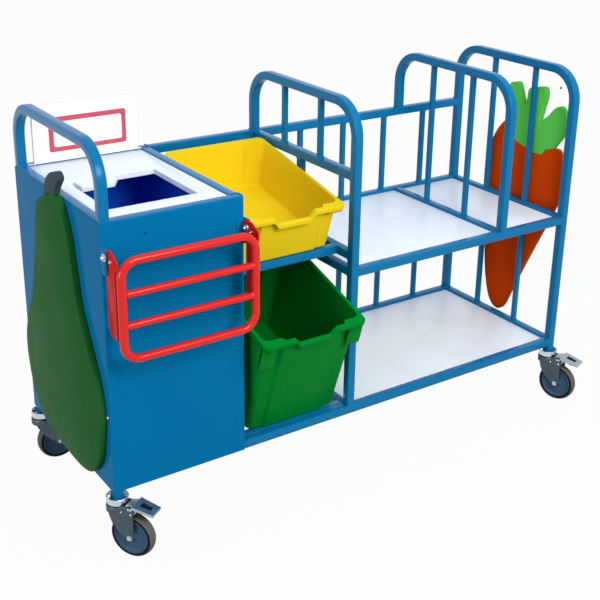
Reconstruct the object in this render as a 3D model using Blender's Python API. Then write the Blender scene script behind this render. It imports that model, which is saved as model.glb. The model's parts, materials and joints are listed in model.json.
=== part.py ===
"""Clearing trolley for a dining hall: a square-tube frame on four braked castors.

It carries a waste cabinet with a fold-up rack, two tilted bins, shelves between four hoops,
and pear and carrot boards on its ends. Metres, +Z up. Named places are distances from the
left end, the front or the floor. At the end the whole trolley moves so that the origin is on
the floor, under the middle of its bounding box.
"""

import math

import bmesh
import bpy
from mathutils import Matrix, Vector

# Driving dimensions of the frame
LENGTH = 1.600
DEPTH = 0.550
TUBE = 0.025
TUBE_EASE = 0.0025
GAP = 0.0003
WELD = 0.005
LEG_END = 0.160
FRAME_BOTTOM = 0.187
SHELF_TOP = 0.644
TABLE_TOP = 0.924
HOOP_RISE = 0.195
LEFT_HOOP_RISE = 0.185
HOOP_BEND = 0.0925
BEND_STEPS = 7

# Where the uprights stand, from the left end
CABINET_WIDTH = 0.387
MIDDLE_HOOP = 0.740
SHELF_HOOP = 1.307

# Guard bars in the hoops and along the back
BAR = 0.015
BAR_EASE = 0.0015
HOOP_BAR_SHARES = (1 / 3, 2 / 3)
BACK_BAR_FIRST = 0.158
BACK_BAR_PITCH = 0.168
BACK_BAR_COUNT = 4

# Struts and rails that carry the two tilted bins
STRUT = 0.020
STRUT_FRONT = 0.268
BIN_RAIL_FRONT = 0.075
BIN_RAIL_TOP = 0.693
LEDGE_WIDTH = 0.019
LEDGE_THICKNESS = 0.004

# Cabinet sheet and the white boards
SHEET = 0.002
SHEET_FOLD = 0.0027
SHEET_STEP = 0.004
BOARD = 0.012
BOARD_EASE = 0.001
SHELF_RECESS = 0.009
TOP_BOARD = 0.015
TOP_BOARD_RECESS = 0.004

# Chute through the cabinet's top board
CHUTE_LEFT = 0.063
CHUTE_WIDTH = 0.245
CHUTE_FRONT = 0.088
CHUTE_LENGTH = 0.246
CHUTE_TAB_INSET = 0.015
CHUTE_TAB_WIDTH = 0.092
CHUTE_TAB_SLANT = 0.032
CHUTE_TAB_REACH = 0.049

# Sign behind the cabinet's top
SIGN_LEFT = 0.046
SIGN_WIDTH = 0.309
SIGN_HEIGHT = 0.158
SIGN_THICKNESS = 0.012
SIGN_CORNER = 0.028
PLATE_INSET = 0.0445
PLATE_WIDTH = 0.228
PLATE_RISE = 0.0255
PLATE_HEIGHT = 0.097
PLATE_THICKNESS = 0.001
PLATE_BORDER = 0.0135
PLATE_CORNER = 0.006

# Pear and carrot boards on the trolley's ends
END_BOARD = 0.018
END_BOARD_EASE = 0.003
END_BOARD_STEPS = 1
PEAR_NEAR = 0.016
PEAR_LOW = 0.186
PEAR_WIDTH = 0.501
PEAR_HEIGHT = 0.745
CARROT_NEAR = 0.046
CARROT_LOW = 0.213
CARROT_WIDTH = 0.336
CARROT_HEIGHT = 0.818
SPACER_RADIUS = 0.007
LEAF_SPACER_SHARES = (0.957,)
ROOT_SPACER_SHARES = (0.67, 0.38)

# The waste bin in the cabinet
WASTE_CLEARANCE = 0.007
WASTE_END_CLEARANCE = 0.040
WASTE_HEADROOM = 0.0127
WASTE_LIP = 0.012
WASTE_SKIRT = 0.018
WASTE_TAPER = 0.012

# The two tilted bins, which share a rim
BIN_CLEARANCE = 0.010
BIN_END_CLEARANCE = 0.072
BIN_LIP = 0.024
BIN_SKIRT = 0.012
BIN_WALL = 0.0025
BIN_CORNER = 0.020
BIN_TAPER = 0.003
BIN_PANEL_WIDTH = 0.190
BIN_PANEL_STEP = 0.008
BIN_PANEL_RAMP = 0.005
BIN_DIP = 0.013
BIN_DIP_WIDTH = 0.150
BIN_DIP_RAMP = 0.014
UPPER_BIN_DEPTH = 0.144
UPPER_BIN_TILT = math.radians(11.3)
LOWER_BIN_DEPTH = 0.335
LOWER_BIN_TILT = math.radians(16.8)
LOWER_BIN_SEAT = 0.029

# Fold-up rack on the cabinet's front, with heights down from the table's top
RACK_TUBE_RADIUS = 0.011
RACK_BAR_RADIUS = 0.0095
RACK_BEND = 0.042
RACK_STAND_OFF = 0.080
RACK_DROP = 0.076
RACK_HEIGHT = 0.253
RACK_BAR_DROPS = (0.082, 0.163)
RACK_PLATE = 0.004
PLATE_NOSE_DROP = 0.074
PLATE_SHOULDER = 0.050
PLATE_FOOT_DROP = 0.278
PLATE_FOOT_CUT = 0.016
PLATE_FOOT_RISE = 0.019
PLATE_BACK = 0.022
PLATE_LUG_DROP = 0.030
PIVOT_OUT = 0.024
PIVOT_DROP = 0.078
PIVOT_RADIUS = 0.004
PIVOT_HEAD_RADIUS = 0.008
PIVOT_HEAD = 0.005
PIVOT_CREST = 0.020
WASHER = 0.002
BRACKET = 0.003
BRACKET_WIDTH = 0.022
BRACKET_DROP = 0.056
BRACKET_HEIGHT = 0.068
BRACKET_REACH = 0.034

# Castors, from the swivel's axis and the floor
WHEEL_RADIUS = 0.0625
WHEEL_WIDTH = 0.030
TYRE_SHOULDER = 0.006
HUB_RADIUS = 0.050
HUB_RIM = 0.005
HUB_DISH = 0.004
HUB_BOSS = 0.013
HUB_CLEARANCE = 0.0005
TRAIL = 0.044
HEAD_RADIUS = 0.029
HEAD_BOTTOM = 0.143
HEAD_TOP = 0.157
HEAD_EASE = 0.002
COLLAR_RADIUS = 0.015
CROWN_RADIUS = 0.031
CROWN_BOTTOM = 0.131
CROWN_EASE = 0.004
FORK_WIDTH = 0.044
FORK_PLATE = 0.004
FORK_SHOULDER = 0.025
FORK_HAUNCH = 0.120
AXLE_EAR = 0.013
AXLE_RADIUS = 0.005
NUT_RADIUS = 0.009
NUT_DEPTH = 0.006
PEDAL_ROOT = 0.056
PEDAL_ROOT_TOP = 0.163
PEDAL_TIP = 0.117
PEDAL_TIP_TOP = 0.151
PEDAL_TIP_WIDTH = 0.038
PEDAL_CORNER = 0.010
PEDAL_PLATE = 0.003
PEDAL_PIVOT = 0.050
PEDAL_PIVOT_HEIGHT = 0.135
PEDAL_PIN_RADIUS = 0.003
PEDAL_EAR = 0.007
PEDAL_CLEARANCE = 0.0008
WINDOW_WIDTH = 0.026
WINDOW_LENGTH = 0.022
WINDOW_BORDER = 0.018
CASTOR_ANGLES = {
    "front_left": math.radians(-57),
    "front_right": math.radians(-71),
    "back_left": math.radians(0),
    "back_right": math.radians(-50),
}

# Cuts run past the faces that they open
OVERRUN = 0.002

# Facets of round pieces, and the edge angle that stays sharp
WHEEL_STEPS = 28
ROUND_STEPS = 18
FINE_STEPS = 12
SHARP_ANGLE = math.radians(32)
ROUND_PROFILE = 0.5

# The pear's outline, as shares of its width and height, clockwise from the top
PEAR_SHARES = (
    (0.375, 1.000), (0.467, 0.992), (0.551, 0.973), (0.641, 0.941), (0.689, 0.877), (0.733, 0.775),
    (0.774, 0.681), (0.812, 0.602), (0.866, 0.519), (0.936, 0.442), (0.988, 0.353), (1.000, 0.286),
    (0.985, 0.210), (0.946, 0.130), (0.904, 0.091), (0.826, 0.042), (0.758, 0.020), (0.673, 0.009),
    (0.500, 0.002), (0.299, 0.000), (0.170, 0.022), (0.100, 0.063), (0.045, 0.120), (0.006, 0.239),
    (0.000, 0.285), (0.010, 0.353), (0.040, 0.419), (0.130, 0.542), (0.205, 0.640), (0.236, 0.734),
    (0.246, 0.804), (0.242, 0.876), (0.250, 0.948), (0.301, 0.986),
)
# The stem's outline, in the same shares, over the pear's first three points
STEM_SHARES = (
    (0.525, 1.016), (0.489, 1.055), (0.415, 1.083), (0.335, 1.101), (0.285, 1.105), (0.265, 1.082),
    (0.311, 1.052), (0.341, 1.027), (0.341, 1.008),
)
STEM_SEAT_COUNT = 3
# The carrot's outlines, as shares of its whole width and height: the seam between its root
# and its leaves from near to far, the root from the seam's far end round below to its near
# end, and the leaves from the seam's far end round above
SEAM_SHARES = (
    (0.143, 0.771), (0.241, 0.757), (0.289, 0.733), (0.393, 0.730), (0.479, 0.741), (0.563, 0.746),
    (0.637, 0.756), (0.810, 0.826),
)
ROOT_SHARES = (
    (0.875, 0.800), (0.958, 0.742), (0.995, 0.670), (1.000, 0.560), (0.982, 0.375), (0.940, 0.180),
    (0.870, 0.062), (0.801, 0.015), (0.726, 0.000), (0.660, 0.008), (0.601, 0.045), (0.500, 0.143),
    (0.298, 0.325), (0.065, 0.528), (0.003, 0.610), (0.009, 0.690), (0.060, 0.765),
)
LEAVES_SHARES = (
    (0.804, 0.913), (0.783, 0.978), (0.744, 0.990), (0.679, 0.995), (0.646, 0.982), (0.610, 0.947),
    (0.557, 0.907), (0.539, 0.934), (0.533, 0.966), (0.512, 0.984), (0.435, 0.994), (0.318, 1.000),
    (0.295, 0.966), (0.313, 0.933), (0.336, 0.890), (0.342, 0.866), (0.247, 0.895), (0.190, 0.923),
    (0.134, 0.940), (0.083, 0.941), (0.036, 0.917), (0.018, 0.859), (0.065, 0.815), (0.110, 0.791),
)

# Places worked out from the sizes above
FRAME_DECK = FRAME_BOTTOM + TUBE
LEG_CENTRE = TUBE / 2
RIGHT_LEG = LENGTH - TUBE
BACK_LEG = DEPTH - TUBE
PAST_MIDDLE = MIDDLE_HOOP + TUBE
HOOP_TOP = TABLE_TOP + HOOP_RISE
SHEET_FACE = GAP + SHEET
CABINET_FACE = CABINET_WIDTH + SHEET_FACE
BIN_WIDTH = MIDDLE_HOOP - CABINET_FACE - 2 * BIN_CLEARANCE
BIN_LENGTH = BACK_LEG - BIN_END_CLEARANCE
WASTE_WIDTH = CABINET_WIDTH - 2 * (TUBE + WASTE_CLEARANCE)
WASTE_LENGTH = DEPTH - 2 * WASTE_END_CLEARANCE
BOARD_UNDERSIDE = TABLE_TOP - TOP_BOARD_RECESS - TOP_BOARD
WASTE_HEIGHT = BOARD_UNDERSIDE - WASTE_HEADROOM - FRAME_DECK - GAP
PIVOT_HEIGHT = TABLE_TOP - PIVOT_DROP
CHEEK_LEFT = RACK_PLATE + WASHER + 2 * GAP
FORK_HALF = FORK_WIDTH / 2
PEDAL_HALF = FORK_HALF + PEDAL_CLEARANCE + PEDAL_PLATE

# Axes by their place in X, Y, Z, and as directions
ALONG, ACROSS, UP = range(3)
AXIS_X = Vector((1, 0, 0))
AXIS_Y = Vector((0, 1, 0))
AXIS_Z = Vector((0, 0, 1))


# Materials and objects

def material(name, hex_colour, roughness, metallic=0.0):
    """A Principled material from an sRGB hex colour."""
    channels = [int(hex_colour[i:i + 2], 16) / 255 for i in (0, 2, 4)]
    linear = [c / 12.92 if c <= 0.04045 else ((c + 0.055) / 1.055) ** 2.4 for c in channels]
    made = bpy.data.materials.new(name)
    made.use_nodes = True
    shader = made.node_tree.nodes["Principled BSDF"]
    shader.inputs["Base Color"].default_value = (*linear, 1)
    shader.inputs["Roughness"].default_value = roughness
    shader.inputs["Metallic"].default_value = metallic
    made.diffuse_color = (*linear, 1)
    return made


def to_mesh(name, bm):
    """Turn a bmesh into a mesh whose faces point out."""
    bmesh.ops.recalc_face_normals(bm, faces=bm.faces)
    mesh = bpy.data.meshes.new(name)
    bm.to_mesh(mesh)
    bm.free()
    return mesh


def place_mesh(name, mesh, surface, parent=None, location=(0, 0, 0), rotation=(0, 0, 0)):
    """Link a mesh as a named object, shaded smooth between its sharp edges."""
    mesh.materials.clear()
    mesh.materials.append(surface)
    mesh.shade_smooth()
    mesh.set_sharp_from_angle(angle=SHARP_ANGLE)
    thing = bpy.data.objects.new(name, mesh)
    thing.location = location
    thing.rotation_euler = rotation
    thing.parent = parent
    bpy.context.scene.collection.objects.link(thing)
    return thing


def place(name, bm, surface):
    """Link a bmesh as a named object that doesn't move."""
    return place_mesh(name, to_mesh(name, bm), surface)


def add_empty(name, location, turn=0.0):
    """An empty that carries a moving piece on its joint's axis."""
    thing = bpy.data.objects.new(name, None)
    thing.location = location
    thing.rotation_euler = (0, 0, turn)
    bpy.context.scene.collection.objects.link(thing)
    return thing


def combine(mesh, bm, operation):
    """The mesh cut by, or joined with, the solid in a bmesh."""
    solid = bpy.data.objects.new("solid", mesh)
    tool = bpy.data.objects.new("tool", to_mesh("tool", bm))
    for thing in (solid, tool):
        bpy.context.scene.collection.objects.link(thing)
    step = solid.modifiers.new(operation, "BOOLEAN")
    step.operation = operation
    step.object = tool
    step.solver = "EXACT"
    bpy.context.view_layer.update()
    graph = bpy.context.evaluated_depsgraph_get()
    made = bpy.data.meshes.new_from_object(solid.evaluated_get(graph))
    for thing in (solid, tool):
        bpy.data.objects.remove(thing)
    return made


# Shapes

def add_box(bm, low, high):
    """A box between two corners. It returns the box's vertices."""
    low, high = Vector(low), Vector(high)
    matrix = Matrix.Translation((low + high) / 2) @ Matrix.Diagonal((*(high - low), 1))
    return bmesh.ops.create_cube(bm, size=1, matrix=matrix)["verts"]


def add_bar(bm, low, high, ease=TUBE_EASE):
    """A straight bar or board, with the edges along its length eased."""
    size = Vector(high) - Vector(low)
    longest = max(range(3), key=lambda axis: size[axis])
    edges = set()
    for corner in add_box(bm, low, high):
        for edge in corner.link_edges:
            run = edge.verts[0].co - edge.verts[1].co
            if abs(run[longest]) > run.length / 2:
                edges.add(edge)
    bmesh.ops.bevel(bm, geom=list(edges), offset=ease, segments=1, affect="EDGES")


def add_turned(bm, profile, steps, matrix=Matrix(), ring=False):
    """Turn (radius, height) points about Z. A ring's profile is closed, others get end caps."""
    loops = []
    for step in range(steps):
        angle = math.tau * step / steps
        loops.append([
            bm.verts.new(matrix @ Vector((r * math.cos(angle), r * math.sin(angle), z)))
            for r, z in profile
        ])
    count = len(profile)
    for this, after in zip(loops, loops[1:] + loops[:1]):
        for i in range(count if ring else count - 1):
            j = (i + 1) % count
            bm.faces.new((this[i], after[i], after[j], this[j]))
    if not ring:
        bm.faces.new([loop[0] for loop in loops])
        bm.faces.new([loop[-1] for loop in loops])


def aim(axis, start):
    """The matrix that lays a turned piece's Z along an axis from a point."""
    return Matrix.Translation(start) @ AXIS_Z.rotation_difference(axis).to_matrix().to_4x4()


def add_rod(bm, start, end, radius):
    """A round rod from one point to another."""
    start, end = Vector(start), Vector(end)
    run = end - start
    add_turned(bm, [(radius, 0), (radius, run.length)], FINE_STEPS, aim(run.normalized(), start))


def arc(centre, radius, start, end, steps):
    """Points along an arc of an outline, with both its ends."""
    points = []
    for step in range(steps + 1):
        angle = start + (end - start) * step / steps
        points.append((centre[0] + radius * math.cos(angle), centre[1] + radius * math.sin(angle)))
    return points


def rounded_rectangle(low, high, radius, steps):
    """The outline of a rectangle with round corners."""
    corners = (
        (high[0] - radius, high[1] - radius), (low[0] + radius, high[1] - radius),
        (low[0] + radius, low[1] + radius), (high[0] - radius, low[1] + radius),
    )
    outline = []
    for turn, corner in enumerate(corners):
        start = math.pi / 2 * turn
        outline += arc(corner, radius, start, start + math.pi / 2, steps)
    return outline


def smooth_curve(points, closed=False):
    """The points with one more between each pair, on a Catmull-Rom curve through them."""
    count = len(points)
    last = count - 1
    curve = []
    for i in range(count if closed else last):
        spots = [i - 1, i, i + 1, i + 2]
        spots = [s % count for s in spots] if closed else [min(max(s, 0), last) for s in spots]
        before, this, after, beyond = (Vector(points[s]) for s in spots)
        middle = (9 * (this + after) - before - beyond) / 16
        curve += [tuple(this), tuple(middle)]
    return curve if closed else curve + [tuple(points[last])]


def add_slab(bm, outline, axis, low, high, ease=0.0, steps=1):
    """Give an outline thickness along an axis, with the edges of its two faces eased.

    The outline's numbers run along the two axes that are left, in X, Y, Z order.
    """
    others = [i for i in range(3) if i != axis]

    def corner(point, level):
        spot = Vector((0, 0, 0))
        spot[axis] = level
        spot[others[0]], spot[others[1]] = point
        return bm.verts.new(spot)

    near = [corner(point, low) for point in outline]
    far = [corner(point, high) for point in outline]
    faces = [bm.faces.new(near), bm.faces.new(far)]
    sides = [
        bm.faces.new((near[i - 1], near[i], far[i], far[i - 1])) for i in range(len(outline))
    ]
    if ease:
        bmesh.ops.recalc_face_normals(bm, faces=faces + sides)
        rims = {edge for face in faces for edge in face.edges}
        bmesh.ops.bevel(bm, geom=list(rims), offset=ease, segments=steps, profile=ROUND_PROFILE,
            affect="EDGES")


def sweep(bm, path, section, binormal, closed=False):
    """Carry a section along a flat path. The binormal is square to the path's plane."""
    rings = []
    last = len(path) - 1
    for i, point in enumerate(path):
        runs = []
        if closed or i > 0:
            runs.append((point - path[i - 1]).normalized())
        if closed or i < last:
            runs.append((path[(i + 1) % len(path)] - point).normalized())
        tangent = (runs[0] + runs[-1]).normalized()
        normal = binormal.cross(tangent) / tangent.dot(runs[0])
        rings.append([bm.verts.new(point + normal * u + binormal * v) for u, v in section])
    pairs = list(zip(rings, rings[1:]))
    if closed:
        pairs.append((rings[-1], rings[0]))
    for this, after in pairs:
        for i in range(len(section)):
            bm.faces.new((this[i - 1], this[i], after[i], after[i - 1]))
    if not closed:
        bm.faces.new(rings[0])
        bm.faces.new(rings[-1])


def square_section():
    """The square tube's section, with eased corners."""
    half = TUBE / 2
    near = half - TUBE_EASE
    return [(half, -near), (half, near), (near, half), (-near, half),
            (-half, near), (-half, -near), (-near, -half), (near, -half)]


def round_section(radius):
    """A round tube's section."""
    last = FINE_STEPS - 1
    return arc((0, 0), radius, 0, math.tau * last / FINE_STEPS, last)


# Frame

def add_tubes(runs, ease=TUBE_EASE):
    """Straight tubes, each from its low corner to its high one, that don't meet each other."""
    bm = bmesh.new()
    for low, high in runs:
        add_bar(bm, low, high, ease)
    return bm


def weld(name, mesh, groups, paint):
    """Join groups of tubes to a mesh, one group after another, and place it."""
    for bm in groups:
        mesh = combine(mesh, bm, "UNION")
    place_mesh(name, mesh, paint)


def hoop_mesh(name, left, front_foot, back_foot, top):
    """A hoop: one tube bent over at the top, on a front and a back foot."""
    front, back = LEG_CENTRE, DEPTH - LEG_CENTRE
    spring = top - LEG_CENTRE - HOOP_BEND
    outline = [(front, front_foot)]
    outline += arc((front + HOOP_BEND, spring), HOOP_BEND, math.pi, math.pi / 2, BEND_STEPS)
    outline += arc((back - HOOP_BEND, spring), HOOP_BEND, math.pi / 2, 0, BEND_STEPS)
    outline.append((back, back_foot))
    bm = bmesh.new()
    sweep(bm, [Vector((left + LEG_CENTRE, y, z)) for y, z in outline], square_section(), AXIS_X)
    return to_mesh(name, bm)


def hoop_bars(hoop, low, high):
    """Slim upright bars in a hoop's plane."""
    left = hoop + (TUBE - BAR) / 2
    fronts = [DEPTH * share - BAR / 2 for share in HOOP_BAR_SHARES]
    return add_tubes([
        ((left, front, low), (left + BAR, front + BAR, high)) for front in fronts
    ], BAR_EASE)


def back_bars(low, high):
    """Slim upright bars along the back of the shelves."""
    front = BACK_LEG + (TUBE - BAR) / 2
    lefts = [
        PAST_MIDDLE + BACK_BAR_FIRST + BACK_BAR_PITCH * i - BAR / 2 for i in range(BACK_BAR_COUNT)
    ]
    return add_tubes([
        ((left, front, low), (left + BAR, front + BAR, high)) for left in lefts
    ], BAR_EASE)


def long_run(start, end, front, top):
    """Corners of a tube along the trolley, clear of what it meets at both ends."""
    return (start + GAP, front, top - TUBE), (end - GAP, front + TUBE, top)


def cross_run(left, top):
    """Corners of a tube between the front and back uprights."""
    return (left, TUBE + GAP, top - TUBE), (left + TUBE, BACK_LEG - GAP, top)


def welded_run(left, top):
    """Corners of a tube across the trolley, run into what it is welded to at both ends."""
    return (left, TUBE - WELD, top - TUBE), (left + TUBE, BACK_LEG + WELD, top)


def add_hoops(paint):
    """The four hoops with their guard bars. The end ones reach down to the castors."""
    weld("hoop_left", hoop_mesh("hoop_left", 0, LEG_END, LEG_END, TABLE_TOP + LEFT_HOOP_RISE), [
        add_tubes([welded_run(0, top) for top in (TABLE_TOP, FRAME_DECK)]),
    ], paint)
    crest = HOOP_TOP - TUBE + WELD
    feet = FRAME_DECK + GAP
    weld("hoop_middle", hoop_mesh("hoop_middle", MIDDLE_HOOP, feet, feet, HOOP_TOP), [
        hoop_bars(MIDDLE_HOOP, TABLE_TOP + GAP, crest),
    ], paint)
    weld("hoop_shelf", hoop_mesh("hoop_shelf", SHELF_HOOP, SHELF_TOP + GAP, TABLE_TOP + GAP, HOOP_TOP), [
        hoop_bars(SHELF_HOOP, SHELF_TOP - WELD, crest),
        add_tubes([cross_run(SHELF_HOOP, SHELF_TOP)]),
    ], paint)
    weld("hoop_right", hoop_mesh("hoop_right", RIGHT_LEG, LEG_END, LEG_END, HOOP_TOP), [
        hoop_bars(RIGHT_LEG, SHELF_TOP + GAP, crest),
    ], paint)


def add_end_frame(paint):
    """The two cross rails under the right hoop's bars, and the bars between them."""
    rails = to_mesh("right_end_frame", add_tubes([
        cross_run(RIGHT_LEG, top) for top in (SHELF_TOP, FRAME_DECK)
    ]))
    bars = hoop_bars(RIGHT_LEG, FRAME_DECK - WELD, SHELF_TOP - TUBE + WELD)
    weld("right_end_frame", rails, [bars], paint)


def add_back_grilles(paint):
    """The guard bars behind the shelves, above and below, with the rails that carry them."""
    rails = to_mesh("back_grille_upper", add_tubes([
        long_run(PAST_MIDDLE, RIGHT_LEG, BACK_LEG, top) for top in (TABLE_TOP, SHELF_TOP)
    ]))
    bars = back_bars(SHELF_TOP - WELD, TABLE_TOP - TUBE + WELD)
    weld("back_grille_upper", rails, [bars], paint)
    rail = to_mesh("back_grille_lower", add_tubes([long_run(TUBE, RIGHT_LEG, BACK_LEG, FRAME_DECK)]))
    bars = back_bars(FRAME_DECK - WELD, SHELF_TOP - TUBE - GAP)
    weld("back_grille_lower", rail, [bars], paint)


def add_front_rails(paint):
    """The rails along the front. The bottom one has a ledge behind it for the lower bin."""
    rail = to_mesh("bottom_front_rail", add_tubes([long_run(TUBE, RIGHT_LEG, 0, FRAME_DECK)]))
    ledge = bmesh.new()
    low = CABINET_FACE + GAP, TUBE - WELD, FRAME_DECK - LEDGE_THICKNESS
    add_box(ledge, low, (MIDDLE_HOOP - GAP, TUBE + LEDGE_WIDTH, FRAME_DECK))
    weld("bottom_front_rail", rail, [ledge], paint)
    place("shelf_front_rail", add_tubes([long_run(PAST_MIDDLE, RIGHT_LEG, 0, SHELF_TOP)]), paint)


def add_bin_frames(paint):
    """What the two tilted bins stand on, joined to the cross rails in the middle hoop's plane."""
    left = MIDDLE_HOOP + (TUBE - STRUT) / 2
    back = STRUT_FRONT + STRUT
    start = CABINET_FACE + GAP

    def strut(low, high):
        return add_tubes([((left, STRUT_FRONT, low), (left + STRUT, back, high))], BAR_EASE)

    def back_rail(top):
        return add_tubes([((start, STRUT_FRONT, top - STRUT), (left + WELD, back, top))], BAR_EASE)

    rails = [cross_run(MIDDLE_HOOP, top) for top in (TABLE_TOP, BIN_RAIL_TOP)]
    front_rail = (
        (start, BIN_RAIL_FRONT, BIN_RAIL_TOP - TUBE),
        (MIDDLE_HOOP + WELD, BIN_RAIL_FRONT + TUBE, BIN_RAIL_TOP),
    )
    weld("upper_bin_frame", to_mesh("upper_bin_frame", add_tubes(rails)), [
        strut(BIN_RAIL_TOP - WELD, TABLE_TOP - TUBE + WELD),
        back_rail(BIN_RAIL_TOP + (STRUT_FRONT - BIN_RAIL_FRONT) * math.tan(UPPER_BIN_TILT)),
        add_tubes([front_rail]),
    ], paint)
    rails = [cross_run(MIDDLE_HOOP, top) for top in (SHELF_TOP, FRAME_DECK)]
    weld("lower_bin_frame", to_mesh("lower_bin_frame", add_tubes(rails)), [
        strut(FRAME_DECK - WELD, SHELF_TOP - TUBE + WELD),
        back_rail(FRAME_DECK + (STRUT_FRONT - LOWER_BIN_SEAT) * math.tan(LOWER_BIN_TILT)),
    ], paint)


def add_cabinet_frame(paint):
    """The tubes behind the cabinet's sheet, and the back rail from it to the middle hoop."""
    rails = to_mesh("cabinet_top_frame", add_tubes([
        long_run(TUBE, CABINET_WIDTH + GAP, y, TABLE_TOP) for y in (0, BACK_LEG)
    ]))
    post = CABINET_WIDTH - TUBE
    weld("cabinet_top_frame", rails, [add_tubes([welded_run(post, TABLE_TOP)])], paint)
    for name, y in (("cabinet_front_post", 0), ("cabinet_back_post", BACK_LEG)):
        low = post, y, FRAME_DECK + GAP
        high = CABINET_WIDTH, y + TUBE, TABLE_TOP - TUBE - GAP
        place(name, add_tubes([(low, high)]), paint)
    place("cabinet_cross_rail", add_tubes([cross_run(post, FRAME_DECK)]), paint)
    rail = long_run(CABINET_WIDTH, MIDDLE_HOOP, BACK_LEG, TABLE_TOP)
    place("middle_back_rail", add_tubes([rail]), paint)


# Cabinet and boards

def add_cabinet_sheet(paint):
    """One sheet folded round the front and both sides. The back is open for the waste bin."""
    near, far = -SHEET_FACE, CABINET_FACE
    inner = SHEET_FOLD - SHEET
    left_fold = near + SHEET_FOLD, near + SHEET_FOLD
    right_fold = far - SHEET_FOLD, near + SHEET_FOLD
    right_end = BACK_LEG - GAP
    outline = [(near, DEPTH)]
    outline += arc(left_fold, SHEET_FOLD, math.pi, math.pi * 3 / 2, 3)
    outline += arc(right_fold, SHEET_FOLD, -math.pi / 2, 0, 3)
    outline += [(far, right_end), (far - SHEET, right_end)]
    outline += arc(right_fold, inner, 0, -math.pi / 2, 3)
    outline += arc(left_fold, inner, math.pi * 3 / 2, math.pi, 3)
    outline.append((near + SHEET, DEPTH))
    bm = bmesh.new()
    add_slab(bm, outline, UP, FRAME_BOTTOM, TABLE_TOP - SHEET_STEP)
    mesh = to_mesh("cabinet_sheet", bm)
    bm = bmesh.new()
    low = CABINET_WIDTH - OVERRUN, -GAP, FRAME_BOTTOM - OVERRUN
    add_box(bm, low, (far + OVERRUN, DEPTH, FRAME_DECK + GAP))
    place_mesh("cabinet_sheet", combine(mesh, bm, "DIFFERENCE"), paint)


def add_cabinet_top_board(surface):
    """The white board in the cabinet's top frame, with the chute cut through it."""
    top = TABLE_TOP - TOP_BOARD_RECESS
    bm = bmesh.new()
    low = TUBE + GAP, TUBE + GAP, top - TOP_BOARD
    add_bar(bm, low, (CABINET_WIDTH - TUBE - GAP, BACK_LEG - GAP, top), BOARD_EASE)
    mesh = to_mesh("cabinet_top_board", bm)
    right, back = CHUTE_LEFT + CHUTE_WIDTH, CHUTE_FRONT + CHUTE_LENGTH
    tab_left = CHUTE_LEFT + CHUTE_TAB_INSET
    tab_right = tab_left + CHUTE_TAB_WIDTH
    tab_front = back - CHUTE_TAB_REACH
    outline = [
        (CHUTE_LEFT, CHUTE_FRONT), (right, CHUTE_FRONT), (right, back),
        (tab_right + CHUTE_TAB_SLANT, back), (tab_right, tab_front), (tab_left, tab_front),
        (tab_left, back), (CHUTE_LEFT, back),
    ]
    bm = bmesh.new()
    add_slab(bm, outline, UP, top - TOP_BOARD - OVERRUN, top + OVERRUN)
    place_mesh("cabinet_top_board", combine(mesh, bm, "DIFFERENCE"), surface)


def add_boards(surface):
    """The boards let into the frame's bays, and the cabinet's floor."""
    shelf, deck = SHELF_TOP - SHELF_RECESS, FRAME_DECK - SHELF_RECESS
    bays = (
        ("shelf_board_left", PAST_MIDDLE, SHELF_HOOP, shelf),
        ("shelf_board_right", SHELF_HOOP + TUBE, RIGHT_LEG, shelf),
        ("bottom_board", PAST_MIDDLE, RIGHT_LEG, deck),
        ("cabinet_floor_board", TUBE, CABINET_WIDTH - TUBE, FRAME_DECK),
    )
    for name, left, right, top in bays:
        bm = bmesh.new()
        low = left + GAP, TUBE + GAP, top - BOARD
        add_bar(bm, low, (right - GAP, BACK_LEG - GAP, top), BOARD_EASE)
        place(name, bm, surface)


def add_sign(white, red):
    """The board that stands behind the cabinet's top, with a bare plate in a red border."""
    front, low = BACK_LEG + GAP, TABLE_TOP + GAP
    right = SIGN_LEFT + SIGN_WIDTH
    shoulder = low + SIGN_HEIGHT - SIGN_CORNER
    outline = [(SIGN_LEFT, low), (right, low)]
    outline += arc((right - SIGN_CORNER, shoulder), SIGN_CORNER, 0, math.pi / 2, 6)
    outline += arc((SIGN_LEFT + SIGN_CORNER, shoulder), SIGN_CORNER, math.pi / 2, math.pi, 6)
    bm = bmesh.new()
    add_slab(bm, outline, ACROSS, front, front + SIGN_THICKNESS, BOARD_EASE)
    place("sign_board", bm, white)
    corner = Vector((SIGN_LEFT + PLATE_INSET, TABLE_TOP + PLATE_RISE))
    size = Vector((PLATE_WIDTH, PLATE_HEIGHT))
    back = front - GAP
    for name, border, surface in (("sign_border", 0, red), ("sign_plate", PLATE_BORDER, white)):
        inset = Vector((border, border))
        outline = rounded_rectangle(corner + inset, corner + size - inset, PLATE_CORNER, 3)
        bm = bmesh.new()
        add_slab(bm, outline, ACROSS, back - PLATE_THICKNESS, back)
        place(name, bm, surface)
        back -= PLATE_THICKNESS + GAP


# Pear and carrot

def end_outline(shares, near, low, width, height):
    """An end board's outline, from shares of its width and height."""
    return [(near + width * across, low + height * up) for across, up in shares]


def end_board_mesh(name, outline, face):
    """A thick board with rounded edges, outward from a face of the trolley's end."""
    bm = bmesh.new()
    low, high = sorted((face, face + math.copysign(END_BOARD, face)))
    add_slab(bm, outline, ALONG, low, high, END_BOARD_EASE, END_BOARD_STEPS)
    return to_mesh(name, bm)


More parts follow.
